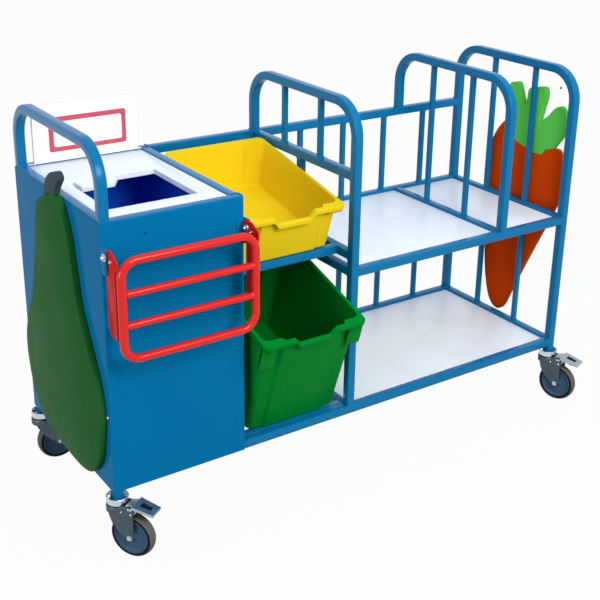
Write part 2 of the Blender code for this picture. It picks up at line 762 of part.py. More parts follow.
def add_pear(green, dark):
    """The pear on the cabinet's left side, and the stem seated on its top edge."""
    face = -SHEET_FACE - GAP
    box = PEAR_NEAR, PEAR_LOW, PEAR_WIDTH, PEAR_HEIGHT
    body = smooth_curve(end_outline(PEAR_SHARES, *box), closed=True)
    place_mesh("pear_board", end_board_mesh("pear_board", body, face), green)
    seat = [(across, up + 2 * GAP) for across, up in body[:2 * STEM_SEAT_COUNT - 1]]
    stem = smooth_curve([seat[-1]] + end_outline(STEM_SHARES, *box) + [seat[0]])
    place_mesh("pear_stem", end_board_mesh("pear_stem", stem + seat[1:-1], face), dark)


def add_carrot_board(name, outline, spacer_shares, surface):
    """One board of the carrot, with the round spacers that hold it off the hoop's bar."""
    face = LENGTH + SHEET_FACE + GAP
    mesh = end_board_mesh(name, outline, face)
    start, end = LENGTH - (TUBE - BAR) / 2 + GAP, face + END_BOARD / 2
    across = DEPTH * HOOP_BAR_SHARES[0]
    bm = bmesh.new()
    for share in spacer_shares:
        height = CARROT_LOW + CARROT_HEIGHT * share
        add_rod(bm, (start, across, height), (end, across, height), SPACER_RADIUS)
    place_mesh(name, combine(mesh, bm, "UNION"), surface)


def add_carrot(orange, green):
    """The carrot on the right end: a root and its leaves, which meet at a seam."""
    box = CARROT_NEAR, CARROT_LOW, CARROT_WIDTH, CARROT_HEIGHT
    seam = end_outline(SEAM_SHARES, *box)
    root = smooth_curve([seam[-1]] + end_outline(ROOT_SHARES, *box) + [seam[0]])
    add_carrot_board("carrot_root", root + seam[1:-1], ROOT_SPACER_SHARES, orange)
    seam = [(across, up + 2 * GAP) for across, up in seam]
    leaves = smooth_curve([seam[-1]] + end_outline(LEAVES_SHARES, *box) + [seam[0]])
    add_carrot_board("carrot_leaves", leaves + seam[1:-1], LEAF_SPACER_SHARES, green)


# Bins

def bin_ring(half, front, back, height, middle, ramp, recess=0.0, dip=0.0):
    """One level of a bin: a rounded rectangle whose front has a middle stretch of its own.

    The corners stand back from the middle by the recess, and the middle is lower by the dip.
    """
    side = front + recess
    low = height - dip
    ring = [
        (-middle - ramp, side, height), (-middle, front, low), (middle, front, low),
        (middle + ramp, side, height),
    ]
    corners = (
        ((half - BIN_CORNER, side + BIN_CORNER), -math.pi / 2),
        ((half - BIN_CORNER, back - BIN_CORNER), 0),
        ((BIN_CORNER - half, back - BIN_CORNER), math.pi / 2),
        ((BIN_CORNER - half, side + BIN_CORNER), math.pi),
    )
    for centre, start in corners:
        turn = arc(centre, BIN_CORNER, start, start + math.pi / 2, 3)
        ring += [(x, y, height) for x, y in turn]
    return ring


def bin_mesh(name, width, length, depth, lip, skirt, taper, panel_step=0.0, dip=0.0):
    """A moulded bin: from its outer base up, out round the rim and down to its floor.

    The middle of the front of its base is its origin.
    """
    half, back = width / 2 - lip, length - 2 * lip
    under, hem = depth - BIN_WALL, depth - skirt
    panel = BIN_PANEL_WIDTH / 2, BIN_PANEL_RAMP, panel_step
    notch = BIN_DIP_WIDTH / 2, BIN_DIP_RAMP, 0.0, dip
    levels = (
        (taper, 0, panel), (0, under, (*panel, dip)), (BIN_WALL - lip, under, notch),
        (BIN_WALL - lip, hem, notch), (-lip, hem, notch), (-lip, depth, notch),
        (BIN_WALL, depth, (*panel, dip)), (BIN_WALL + taper, BIN_WALL, panel),
    )
    bm = bmesh.new()
    loops = []
    for inset, height, front in levels:
        ring = bin_ring(half - inset, inset, back - inset, height, *front)
        loops.append([bm.verts.new(spot) for spot in ring])
    for this, after in zip(loops, loops[1:]):
        for i in range(len(this)):
            bm.faces.new((this[i - 1], this[i], after[i], after[i - 1]))
    bm.faces.new(loops[0])
    bm.faces.new(loops[-1])
    return to_mesh(name, bm)


def add_waste_bin(surface):
    """The bin in the cabinet, under the chute."""
    mesh = bin_mesh(
        "waste_bin", WASTE_WIDTH, WASTE_LENGTH, WASTE_HEIGHT, WASTE_LIP, WASTE_SKIRT, WASTE_TAPER)
    front = (DEPTH - WASTE_LENGTH) / 2 + WASTE_LIP
    place_mesh("waste_bin", mesh, surface, location=(CABINET_WIDTH / 2, front, FRAME_DECK + GAP))


def add_tilted_bins(yellow, green):
    """The two bins beside the cabinet, each with the front of its base on its front rail."""
    middle = MIDDLE_HOOP - BIN_CLEARANCE - BIN_WIDTH / 2
    bins = (
        ("upper_bin", UPPER_BIN_DEPTH, UPPER_BIN_TILT, BIN_RAIL_FRONT, BIN_RAIL_TOP, yellow),
        ("lower_bin", LOWER_BIN_DEPTH, LOWER_BIN_TILT, LOWER_BIN_SEAT, FRAME_DECK, green),
    )
    for name, depth, tilt, seat, rail, surface in bins:
        mesh = bin_mesh(
            name, BIN_WIDTH, BIN_LENGTH, depth, BIN_LIP, BIN_SKIRT, BIN_TAPER, BIN_PANEL_STEP, BIN_DIP)
        spot = middle, seat, rail + GAP / math.cos(tilt)
        place_mesh(name, mesh, surface, location=spot, rotation=(tilt, 0, 0))


# Fold-up rack

def rack_plate_outline():
    """The side plate: a sloped foot, a lug round the pivot and a nose over the tube's bend."""
    reach = math.sqrt(RACK_TUBE_RADIUS ** 2 - (RACK_TUBE_RADIUS - RACK_PLATE) ** 2)
    seat = -RACK_STAND_OFF + reach + GAP
    bend = RACK_BEND + RACK_TUBE_RADIUS
    crest = math.sqrt(bend ** 2 - (bend - RACK_PLATE) ** 2)
    nose = TABLE_TOP - RACK_DROP - RACK_BEND + crest + GAP
    foot = TABLE_TOP - PLATE_FOOT_DROP
    outline = [
        (seat, foot), (-PLATE_BACK - PLATE_FOOT_CUT, foot), (-PLATE_BACK, foot + PLATE_FOOT_RISE),
        (-PLATE_BACK, PIVOT_HEIGHT - PLATE_LUG_DROP),
    ]
    outline += arc((-PIVOT_OUT, PIVOT_HEIGHT), PIVOT_CREST, -math.pi / 4, math.pi / 2, 6)
    outline += [
        (-PLATE_SHOULDER, PIVOT_HEIGHT + PIVOT_CREST),
        (-RACK_STAND_OFF, TABLE_TOP - PLATE_NOSE_DROP), (-RACK_STAND_OFF, nose), (seat, nose),
    ]
    return outline


def rack_frame_mesh():
    """The rack's bent loop, with two bars welded across it."""
    top, inset = TABLE_TOP - RACK_DROP, RACK_TUBE_RADIUS
    outline = rounded_rectangle(
        (inset, top - RACK_HEIGHT), (CABINET_WIDTH - inset, top), RACK_BEND, 6)
    loop, bars = bmesh.new(), bmesh.new()
    path = [Vector((x, -RACK_STAND_OFF, z)) for x, z in outline]
    sweep(loop, path, round_section(RACK_TUBE_RADIUS), AXIS_Y, closed=True)
    for drop in RACK_BAR_DROPS:
        start = Vector((inset, -RACK_STAND_OFF, top - drop))
        end = start + AXIS_X * (CABINET_WIDTH - 2 * inset)
        add_rod(bars, start, end, RACK_BAR_RADIUS)
    return combine(to_mesh("rack_frame", loop), bars, "UNION")


def pivot_bore():
    """A rod along the rack's pivot right across the cabinet, to bore what the bolts go through."""
    bm = bmesh.new()
    start = Vector((-OVERRUN, -PIVOT_OUT, PIVOT_HEIGHT))
    add_rod(bm, start, start + AXIS_X * (CABINET_WIDTH + 2 * OVERRUN), PIVOT_RADIUS + GAP)
    return bm


def add_rack(paint):
    """The rack that swings, and the plate on each side that it hangs by."""
    hinge = add_empty("rack_hinge", (0, -PIVOT_OUT, PIVOT_HEIGHT))
    meshes = {"rack_frame": rack_frame_mesh()}
    for side, left in (("left", 0), ("right", CABINET_WIDTH - RACK_PLATE)):
        bm = bmesh.new()
        add_slab(bm, rack_plate_outline(), ALONG, left, left + RACK_PLATE)
        name = f"rack_plate_{side}"
        meshes[name] = combine(to_mesh(name, bm), pivot_bore(), "DIFFERENCE")
    for name, mesh in meshes.items():
        mesh.transform(Matrix.Translation(-hinge.location))
        place_mesh(name, mesh, paint, parent=hinge)


def add_rack_brackets(paint):
    """Two angle brackets on the cabinet's front, bored for the pivot bolts."""
    near = -SHEET_FACE - GAP
    low = TABLE_TOP - BRACKET_DROP - BRACKET_HEIGHT
    left, right = CHEEK_LEFT, CHEEK_LEFT + BRACKET_WIDTH
    outline = [
        (left, near), (left, -BRACKET_REACH), (left + BRACKET, -BRACKET_REACH),
        (left + BRACKET, near - BRACKET), (right, near - BRACKET), (right, near),
    ]
    outlines = {"left": outline, "right": [(CABINET_WIDTH - x, y) for x, y in outline]}
    for side, shape in outlines.items():
        name = f"rack_bracket_{side}"
        bm = bmesh.new()
        add_slab(bm, shape, UP, low, low + BRACKET_HEIGHT)
        place_mesh(name, combine(to_mesh(name, bm), pivot_bore(), "DIFFERENCE"), paint)


def add_rack_bolts(zinc):
    """A pivot bolt on each side: head, shank through the plate and the bracket, and nut."""
    shank = CHEEK_LEFT + BRACKET + 2 * GAP
    bolt = [
        (PIVOT_HEAD_RADIUS, -PIVOT_HEAD), (PIVOT_HEAD_RADIUS, 0), (PIVOT_RADIUS, 0),
        (PIVOT_RADIUS, shank), (PIVOT_HEAD_RADIUS, shank), (PIVOT_HEAD_RADIUS, shank + PIVOT_HEAD),
    ]
    for side, x, axis in (("left", -GAP, AXIS_X), ("right", CABINET_WIDTH + GAP, -AXIS_X)):
        bm = bmesh.new()
        add_turned(bm, bolt, FINE_STEPS, aim(axis, (x, -PIVOT_OUT, PIVOT_HEIGHT)))
        place(f"rack_bolt_{side}", bm, zinc)


# Castors

def fork_outline():
    """A fork leg from the side: from the crown down to the axle, with an ear for the pedal."""
    crown = (CROWN_BOTTOM + HEAD_BOTTOM) / 2
    outline = arc((TRAIL, WHEEL_RADIUS), AXLE_EAR, -math.pi, 0, 8)
    outline += arc((PEDAL_PIVOT, PEDAL_PIVOT_HEIGHT), PEDAL_EAR, -math.pi / 6, math.pi / 2, 4)
    outline += [(-FORK_SHOULDER, crown), (-FORK_SHOULDER, FORK_HAUNCH)]
    return outline


def fork_mesh():
    """A pressed fork: a round crown over two legs, a bolt for an axle and a bore for the pedal."""
    top = HEAD_BOTTOM - GAP
    crown, legs, bore, axle = (bmesh.new() for _ in range(4))
    add_turned(crown, [
        (CROWN_RADIUS, CROWN_BOTTOM), (CROWN_RADIUS, top - CROWN_EASE), (CROWN_RADIUS - CROWN_EASE, top),
    ], ROUND_STEPS)
    for start in (-FORK_HALF, FORK_HALF - FORK_PLATE):
        add_slab(legs, fork_outline(), ACROSS, start, start + FORK_PLATE)
    reach = FORK_HALF + OVERRUN
    start, end = ((PEDAL_PIVOT, side, PEDAL_PIVOT_HEIGHT) for side in (-reach, reach))
    add_rod(bore, start, end, PEDAL_PIN_RADIUS + GAP)
    sunk, proud = FORK_HALF - FORK_PLATE / 2, FORK_HALF + NUT_DEPTH
    add_turned(axle, [
        (NUT_RADIUS, -proud), (NUT_RADIUS, -sunk), (AXLE_RADIUS, -sunk), (AXLE_RADIUS, sunk),
        (NUT_RADIUS, sunk), (NUT_RADIUS, proud),
    ], FINE_STEPS, aim(AXIS_Y, (TRAIL, 0, WHEEL_RADIUS)))
    mesh = combine(to_mesh("castor_fork", crown), legs, "UNION")
    mesh = combine(mesh, axle, "UNION")
    return combine(mesh, bore, "DIFFERENCE")


def tyre_mesh():
    """The soft tread round the hub, with rounded shoulders."""
    half, inner = WHEEL_WIDTH / 2, HUB_RADIUS + GAP
    edge, shoulder = WHEEL_RADIUS - TYRE_SHOULDER, WHEEL_RADIUS - TYRE_SHOULDER / 3
    bm = bmesh.new()
    add_turned(bm, [
        (inner, -half), (edge, -half), (shoulder, TYRE_SHOULDER - half), (WHEEL_RADIUS, 0),
        (shoulder, half - TYRE_SHOULDER), (edge, half), (inner, half),
    ], WHEEL_STEPS, ring=True)
    return to_mesh("castor_tyre", bm)


def hub_mesh():
    """The wheel's centre: a rim, a dished disc and a boss bored for the axle."""
    rim = WHEEL_WIDTH / 2
    dish = rim - HUB_DISH
    boss = FORK_HALF - FORK_PLATE - HUB_CLEARANCE
    side = [
        (HUB_RADIUS, rim), (HUB_RADIUS - HUB_RIM, rim), (HUB_RADIUS - HUB_RIM - HUB_DISH, dish),
        (HUB_BOSS + HUB_DISH, dish), (HUB_BOSS, boss), (AXLE_RADIUS + GAP, boss),
    ]
    other_side = [(radius, -height) for radius, height in reversed(side)]
    bm = bmesh.new()
    add_turned(bm, side + other_side, WHEEL_STEPS, ring=True)
    return to_mesh("castor_hub", bm)


def pedal_plate_mesh(slope):
    """The pedal's foot plate, with its window, sloping down and out from its root."""
    run = (PEDAL_TIP - PEDAL_ROOT) / math.cos(slope)
    lay = Matrix.Translation((PEDAL_ROOT, 0, PEDAL_ROOT_TOP)) @ Matrix.Rotation(slope, 4, "Y")
    tip = PEDAL_TIP_WIDTH / 2 - PEDAL_CORNER
    outline = [(0, -PEDAL_HALF)]
    outline += arc((run - PEDAL_CORNER, -tip), PEDAL_CORNER, -math.pi / 2, 0, 3)
    outline += arc((run - PEDAL_CORNER, tip), PEDAL_CORNER, 0, math.pi / 2, 3)
    outline.append((0, PEDAL_HALF))
    bm = bmesh.new()
    add_slab(bm, outline, UP, -PEDAL_PLATE, 0)
    bm.transform(lay)
    mesh = to_mesh("castor_pedal", bm)
    half = WINDOW_WIDTH / 2
    bm = bmesh.new()
    low = WINDOW_BORDER, -half, -PEDAL_PLATE - OVERRUN
    add_box(bm, low, (WINDOW_BORDER + WINDOW_LENGTH, half, OVERRUN))
    bm.transform(lay)
    return combine(mesh, bm, "DIFFERENCE")


def pedal_mesh():
    """The brake pedal: a foot plate on two cheeks, which turn on a pin through the fork."""
    slope = math.atan2(PEDAL_ROOT_TOP - PEDAL_TIP_TOP, PEDAL_TIP - PEDAL_ROOT)
    mesh = pedal_plate_mesh(slope)
    pivot = PEDAL_PIVOT, PEDAL_PIVOT_HEIGHT
    root = PEDAL_ROOT_TOP - PEDAL_PLATE / 2
    cheek = arc(pivot, PEDAL_EAR, math.pi * 5 / 6, math.pi * 11 / 6, 6)
    cheek += [
        (PEDAL_ROOT + WINDOW_BORDER, root - WINDOW_BORDER * math.tan(slope)),
        (PEDAL_ROOT + PEDAL_PLATE / 2, root),
    ]
    for start in (-PEDAL_HALF, PEDAL_HALF - PEDAL_PLATE):
        bm = bmesh.new()
        add_slab(bm, cheek, ACROSS, start, start + PEDAL_PLATE)
        mesh = combine(mesh, bm, "UNION")
    bm = bmesh.new()
    reach = PEDAL_HALF - PEDAL_PLATE / 2
    add_rod(bm, (pivot[0], -reach, pivot[1]), (pivot[0], reach, pivot[1]), PEDAL_PIN_RADIUS)
    mesh = combine(mesh, bm, "UNION")
    mesh.transform(Matrix.Translation((-pivot[0], 0, -pivot[1])))
    return mesh


def castor_centre(name):
    """The swivel's axis under a leg, from a castor's place."""
    side = LEG_CENTRE if name.endswith("left") else LENGTH - LEG_CENTRE
    depth = LEG_CENTRE if name.startswith("front") else DEPTH - LEG_CENTRE
    return Vector((side, depth, 0))


def add_castors(zinc, grey, plastic, rubber):
    """A fork, a wheel and a pedal under each end leg, on a head that is fixed to the leg."""
    wheel, upright, laid = Vector((TRAIL, 0, WHEEL_RADIUS)), (0, 0, 0), (math.pi / 2, 0, 0)
    pieces = (
        ("fork", fork_mesh(), grey, Vector((0, 0, 0)), upright),
        ("tyre", tyre_mesh(), rubber, wheel, laid),
        ("hub", hub_mesh(), plastic, wheel, laid),
        ("pedal", pedal_mesh(), zinc, Vector((PEDAL_PIVOT, 0, PEDAL_PIVOT_HEIGHT)), upright),
    )
    edge = HEAD_RADIUS - HEAD_EASE
    head = bmesh.new()
    add_turned(head, [
        (edge, HEAD_BOTTOM), (HEAD_RADIUS, HEAD_BOTTOM + HEAD_EASE), (HEAD_RADIUS, HEAD_TOP - HEAD_EASE),
        (edge, HEAD_TOP), (COLLAR_RADIUS, HEAD_TOP), (COLLAR_RADIUS, LEG_END - GAP),
    ], ROUND_STEPS)
    head = to_mesh("castor_head", head)
    for name, angle in CASTOR_ANGLES.items():
        centre = castor_centre(name)
        place_mesh(f"castor_{name}_head", head, zinc, location=centre)
        swivel = add_empty(f"castor_{name}", centre, angle)
        for piece, mesh, surface, spot, rotation in pieces:
            place_mesh(f"castor_{name}_{piece}", mesh, surface, swivel, spot, rotation)


def stand_on_origin():
    """Move everything so that the origin is under the middle of the bounding box."""
    bpy.context.view_layer.update()
    solids = [thing for thing in bpy.data.objects if thing.type == "MESH"]
    spots = [thing.matrix_world @ vertex.co for thing in solids for vertex in thing.data.vertices]
    middle = [(min(s[axis] for s in spots) + max(s[axis] for s in spots)) / 2 for axis in (ALONG, ACROSS)]
    for thing in bpy.data.objects:
        if thing.parent is None:
            thing.location -= Vector((*middle, 0))


def build():
    """Make every part of the trolley."""
    for thing in list(bpy.data.objects):
        bpy.data.objects.remove(thing)
    blue = material("blue_painted_steel", "1878AA", 0.35)
    red = material("red_painted_steel", "DC3038", 0.35)
    white = material("white_laminate_board", "E8F4F8", 0.4)
    zinc = material("zinc_plated_steel", "B8BCC0", 0.35, 1.0)
    add_hoops(blue)
    add_end_frame(blue)
    add_back_grilles(blue)
    add_front_rails(blue)
    add_bin_frames(blue)
    add_cabinet_frame(blue)
    add_cabinet_sheet(blue)
    add_cabinet_top_board(white)
    add_boards(white)
    add_sign(white, material("red_print", "C85060", 0.5))
    add_pear(
        material("green_painted_board", "2C6A34", 0.35),
        material("dark_painted_board", "36474C", 0.5),
    )
    add_carrot(
        material("orange_painted_board", "C84810", 0.4),
        material("light_green_painted_board", "50B848", 0.4),
    )
    add_waste_bin(material("dark_blue_plastic", "08298A", 0.4))
    add_tilted_bins(
        material("yellow_plastic", "E8C520", 0.4), material("green_plastic", "007A28", 0.4))
    add_rack(red)
    add_rack_brackets(blue)
    add_rack_bolts(zinc)
    add_castors(
        zinc,
        material("grey_fork_steel", "5A6A78", 0.4, 0.8),
        material("grey_hub_plastic", "44586C", 0.5),
        material("grey_tyre_rubber", "6A6A66", 0.7),
    )
    stand_on_origin()


build()
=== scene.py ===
# %% [markdown]
# # A clearing trolley, dressed over its CAD frame
#
# The trolley is a welded frame of blue square tube on four braked castors. A waste cabinet with
# a fold-up rack stands at the left, two tilted bins hang beside it, and shelves run between tall
# hoops. The CAD model already has every part in its true place. This script gives the parts the
# finer shapes and the finishes that a camera sees.
#
# The first cell loads the CAD frame, and a small function reads the box of any of its parts. The
# dressed model must not grow out of it.

# %% Load the frame
import json
import math

import bmesh
import bpy
from mathutils import Matrix, Vector


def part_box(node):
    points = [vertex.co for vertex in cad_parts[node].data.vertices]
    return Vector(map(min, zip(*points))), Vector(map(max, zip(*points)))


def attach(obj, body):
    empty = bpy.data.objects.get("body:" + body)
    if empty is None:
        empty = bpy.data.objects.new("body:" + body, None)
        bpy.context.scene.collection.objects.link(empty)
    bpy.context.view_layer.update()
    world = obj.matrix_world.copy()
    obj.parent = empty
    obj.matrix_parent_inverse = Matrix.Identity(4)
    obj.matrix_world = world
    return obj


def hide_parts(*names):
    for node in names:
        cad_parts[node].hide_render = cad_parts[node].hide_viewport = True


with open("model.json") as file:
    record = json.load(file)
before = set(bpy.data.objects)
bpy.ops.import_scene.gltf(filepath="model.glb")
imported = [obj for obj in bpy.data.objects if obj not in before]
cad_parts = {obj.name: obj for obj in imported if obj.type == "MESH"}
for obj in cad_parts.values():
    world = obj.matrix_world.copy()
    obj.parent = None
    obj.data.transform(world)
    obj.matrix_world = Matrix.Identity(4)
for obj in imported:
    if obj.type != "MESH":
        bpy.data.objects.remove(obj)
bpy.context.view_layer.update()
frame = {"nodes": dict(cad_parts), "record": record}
nodes = frame["nodes"]

# %% [markdown]
# ## Places on the trolley
#
# A maker measures a trolley from its left end, its front and the floor. The low corner of the
# left hoop gives the first two, so one small function turns such a place into the scene's
# coordinates, and every later size can be read as a drawing's.

# %% Measure from the left end, the front and the floor
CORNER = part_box("hoop_left")[0]


def at(x, y, z):
    """A place given from the left end, the front and the floor."""
    return Vector((CORNER.x + x, CORNER.y + y, z))


print("front left corner of the floor:", [round(v, 4) for v in at(0, 0, 0)])

# %% [markdown]
# ## Colours and nodes
#
# Paint and plastic are named by their sRGB hex code, as in a paint shop, while shaders want
# linear light. One function converts the code. A second one adds a node with its settings and
# links, so that a finish reads as a short list of steps.

# %% Helpers for finishes
def linear(code):
    """The linear colour of an sRGB hex code, with full alpha."""
    channels = [int(code[i:i + 2], 16) / 255 for i in (0, 2, 4)]
    return (*(c / 12.92 if c <= 0.04045 else ((c + 0.055) / 1.055) ** 2.4 for c in channels), 1)


def add_node(tree, kind, inputs=(), **settings):
    """Add a node. Each input takes a plain value, or the output socket that feeds it."""
    made = tree.nodes.new(kind)
    for name, value in settings.items():
        setattr(made, name, value)
    for name, value in dict(inputs).items():
        if isinstance(value, bpy.types.NodeSocket):
            tree.links.new(value, made.inputs[name])
        else:
            made.inputs[name].default_value = value
    return made


def new_finish(name, **sockets):
    """A material with a Principled shader, and the place on the object that patterns read."""
    finish = bpy.data.materials.new(name)
    finish.use_nodes = True
    tree = finish.node_tree
    shader = tree.nodes["Principled BSDF"]
    for socket, value in sockets.items():
        shader.inputs[socket.replace("_", " ")].default_value = value
    place = add_node(tree, "ShaderNodeTexCoord").outputs["Object"]
    return finish, tree, shader, place


print("the frame's blue in linear light:", [round(c, 3) for c in linear("06709E")])

# %% [markdown]
# ## Powder coat
#
# The frame, the cabinet and the rack are mild steel with a powder coat. The powder melts into a
# thick skin with a slight orange peel, a few millimetres from crest to crest, and it mirrors the
# sky softly. Handling dulls it in broad patches. The peel is a bump, the dulling is a roughness,
# and a faint drift between two close colours keeps large faces from looking printed. Tubes keep
# their full gloss. The folded sheet, the brackets and the rack's plates are flat, and a flat
# gloss face would mirror the whole sky at once, so their coat is a satin one.

# %% Gloss and satin powder coat on steel
MM = 0.001
PEEL = 5 * MM
PEEL_DEPTH = 0.2 * MM
DULL_PATCH = 120 * MM
DRIFT = 400 * MM
SATIN = 0.02


def powder_coat(name, colour, deep, shine, level):
    """Powder-coated steel that drifts between two close colours."""
    finish, tree, shader, place = new_finish(
        name, Specular_IOR_Level=level, Specular_Tint=linear(shine))
    drift = add_node(tree, "ShaderNodeTexNoise", {"Vector": place, "Scale": 1 / DRIFT, "Detail": 2})
    tint = add_node(tree, "ShaderNodeMix", {
        0: drift.outputs["Fac"], 6: linear(colour), 7: linear(deep),
    }, data_type="RGBA")
    tree.links.new(tint.outputs[2], shader.inputs["Base Color"])
    patch = add_node(tree, "ShaderNodeTexNoise", {"Vector": place, "Scale": 1 / DULL_PATCH, "Detail": 5})
    gloss = add_node(tree, "ShaderNodeMapRange", {
        "Value": patch.outputs["Fac"], "From Min": 0.35, "From Max": 0.7, "To Min": 0.15, "To Max": 0.27,
    })
    tree.links.new(gloss.outputs["Result"], shader.inputs["Roughness"])
    peel = add_node(tree, "ShaderNodeTexNoise", {"Vector": place, "Scale": 1 / PEEL, "Detail": 1})
    bump = add_node(tree, "ShaderNodeBump", {
        "Height": peel.outputs["Fac"], "Strength": 0.12, "Distance": PEEL_DEPTH,
    })
    tree.links.new(bump.outputs["Normal"], shader.inputs["Normal"])
    return finish


BLUES = "06709E", "026898", "A0D0FF"
REDS = "D81E1C", "C81412", "FFC0B8"
BLUE_COAT = powder_coat("blue_gloss_powder_coat", *BLUES, 0.26)
SHEET_COAT = powder_coat("blue_satin_powder_coat", *BLUES, SATIN)
RED_COAT = powder_coat("red_gloss_powder_coat", *REDS, 0.55)
PLATE_COAT = powder_coat("red_satin_powder_coat", *REDS, SATIN)
print("powder coats:", BLUE_COAT.name, SHEET_COAT.name, RED_COAT.name, PLATE_COAT.name)

# %% [markdown]
# ## Boards and print
#
# The shelves and the cabinet's top are chipboard with a white melamine face, which is pressed
# against a plate with a fine pearl texture. Faint scuffs show where things are set down. The
# sign is the same board with a printed vinyl frame on it, and the thin vinyl takes on the pearl
# of the face below, so one function makes both.

# %% Melamine and vinyl
PEARL = 4 * MM
PEARL_DEPTH = 0.15 * MM


def melamine(name, colour, shade):
    """A melamine face with a pearl texture and faint scuffs."""
    finish, tree, shader, place = new_finish(name, Roughness=0.38)
    scuff = add_node(tree, "ShaderNodeTexNoise", {"Vector": place, "Scale": 1 / DULL_PATCH, "Detail": 6})
    weight = add_node(tree, "ShaderNodeMapRange", {
        "Value": scuff.outputs["Fac"], "From Min": 0.5, "From Max": 0.75, "To Min": 0.0, "To Max": 1.0,
    })
    tint = add_node(tree, "ShaderNodeMix", {
        0: weight.outputs["Result"], 6: linear(colour), 7: linear(shade),
    }, data_type="RGBA")
    tree.links.new(tint.outputs[2], shader.inputs["Base Color"])
    pearl = add_node(tree, "ShaderNodeTexNoise", {"Vector": place, "Scale": 1 / PEARL, "Detail": 2})
    bump = add_node(tree, "ShaderNodeBump", {
        "Height": pearl.outputs["Fac"], "Strength": 0.1, "Distance": PEARL_DEPTH,
    })
    tree.links.new(bump.outputs["Normal"], shader.inputs["Normal"])
    return finish


WHITE_BOARD = melamine("white_melamine_board", "F4F6F6", "ECEFF0")
RED_VINYL = melamine("red_printed_vinyl", "C4485A", "B84052")
print("boards:", WHITE_BOARD.name, RED_VINYL.name)

# %% [markdown]
# The pear and the carrot are cut from MDF and sprayed with satin enamel. The spray leaves a fine
# stipple, and each pass of the gun overlaps the last, so the colour and the gloss drift together
# in broad bands.

# %% Enamelled board
STIPPLE = 3 * MM
STIPPLE_DEPTH = 0.2 * MM
SPRAY_BAND = 180 * MM


def enamelled_board(name, colour, deep):
    """Satin enamel sprayed on MDF: drifting colour, and a fine stipple."""
    finish, tree, shader, place = new_finish(name, Specular_IOR_Level=0.01)
    band = add_node(tree, "ShaderNodeTexNoise", {"Vector": place, "Scale": 1 / SPRAY_BAND, "Detail": 3})
    tint = add_node(tree, "ShaderNodeMix", {
        0: band.outputs["Fac"], 6: linear(colour), 7: linear(deep),
    }, data_type="RGBA")
    tree.links.new(tint.outputs[2], shader.inputs["Base Color"])
    gloss = add_node(tree, "ShaderNodeMapRange", {
        "Value": band.outputs["Fac"], "From Min": 0.3, "From Max": 0.7, "To Min": 0.3, "To Max": 0.42,
    })
    tree.links.new(gloss.outputs["Result"], shader.inputs["Roughness"])
    stipple = add_node(tree, "ShaderNodeTexNoise", {"Vector": place, "Scale": 1 / STIPPLE, "Detail": 2})
    bump = add_node(tree, "ShaderNodeBump", {
        "Height": stipple.outputs["Fac"], "Strength": 0.15, "Distance": STIPPLE_DEPTH,
    })
    tree.links.new(bump.outputs["Normal"], shader.inputs["Normal"])
    return finish


PEAR_ENAMEL = enamelled_board("pear_green_satin_enamel", "22602C", "1A5422")
STEM_ENAMEL = enamelled_board("stem_grey_satin_enamel", "46545A", "343E44")
ROOT_ENAMEL = enamelled_board("carrot_orange_satin_enamel", "E24A08", "C83A06")
LEAF_ENAMEL = enamelled_board("leaf_green_satin_enamel", "6CD858", "5CCC4C")
print("enamels:", PEAR_ENAMEL.name, STEM_ENAMEL.name, ROOT_ENAMEL.name, LEAF_ENAMEL.name)

# %% [markdown]
# ## Moulded polypropylene
#
# The bins are injection-moulded polypropylene. The mould leaves a fine matt grain, and use leaves
# long, thin scuffs. The plastic lets a little light in, which the finish leaves out. The scuffs
# are a noise that is drawn out along the bin's depth, and they only change the gloss.

# %% Moulded plastic
GRAIN = 2 * MM
GRAIN_DEPTH = 0.1 * MM
SCUFF_LENGTH = 90 * MM
SCUFF_WIDTH = 9 * MM


def polypropylene(name, colour, deep):
    """Moulded polypropylene with a matt grain and drawn-out scuffs."""
    finish, tree, shader, place = new_finish(
        name, Specular_IOR_Level=0.03, Specular_Tint=linear(colour))
    drift = add_node(tree, "ShaderNodeTexNoise", {"Vector": place, "Scale": 1 / DRIFT, "Detail": 2})
    tint = add_node(tree, "ShaderNodeMix", {
        0: drift.outputs["Fac"], 6: linear(colour), 7: linear(deep),
    }, data_type="RGBA")
    tree.links.new(tint.outputs[2], shader.inputs["Base Color"])
    drawn = add_node(tree, "ShaderNodeMapping", {
        "Vector": place, "Scale": (1 / SCUFF_WIDTH, 1 / SCUFF_LENGTH, 1 / SCUFF_WIDTH),
    })
    scuff = add_node(tree, "ShaderNodeTexNoise", {
        "Vector": drawn.outputs["Vector"], "Scale": 1.0, "Detail": 4,
    })
    gloss = add_node(tree, "ShaderNodeMapRange", {
        "Value": scuff.outputs["Fac"], "From Min": 0.4, "From Max": 0.7, "To Min": 0.34, "To Max": 0.5,
    })
    tree.links.new(gloss.outputs["Result"], shader.inputs["Roughness"])
    grain = add_node(tree, "ShaderNodeTexNoise", {"Vector": place, "Scale": 1 / GRAIN, "Detail": 1})
    bump = add_node(tree, "ShaderNodeBump", {
        "Height": grain.outputs["Fac"], "Strength": 0.1, "Distance": GRAIN_DEPTH,
    })
    tree.links.new(bump.outputs["Normal"], shader.inputs["Normal"])
    return finish


YELLOW_BIN = polypropylene("yellow_polypropylene", "F2D220", "EAC81A")
GREEN_BIN = polypropylene("green_polypropylene", "00842A", "007824")
BLUE_BIN = polypropylene("dark_blue_polypropylene", "1A58DC", "1450D0")
print("bins:", YELLOW_BIN.name, GREEN_BIN.name, BLUE_BIN.name)

# %% [markdown]
# ## Zinc, nylon and rubber
#
# The castors are pressed from zinc-plated steel: bright at the ball race and on the bolts, grey
# on the pedal, and dark and dull on the fork. Zinc is a metal that mirrors the room in soft
# patches, so one noise moves both its colour and its gloss.

# %% Zinc plate
SPANGLE = 14 * MM


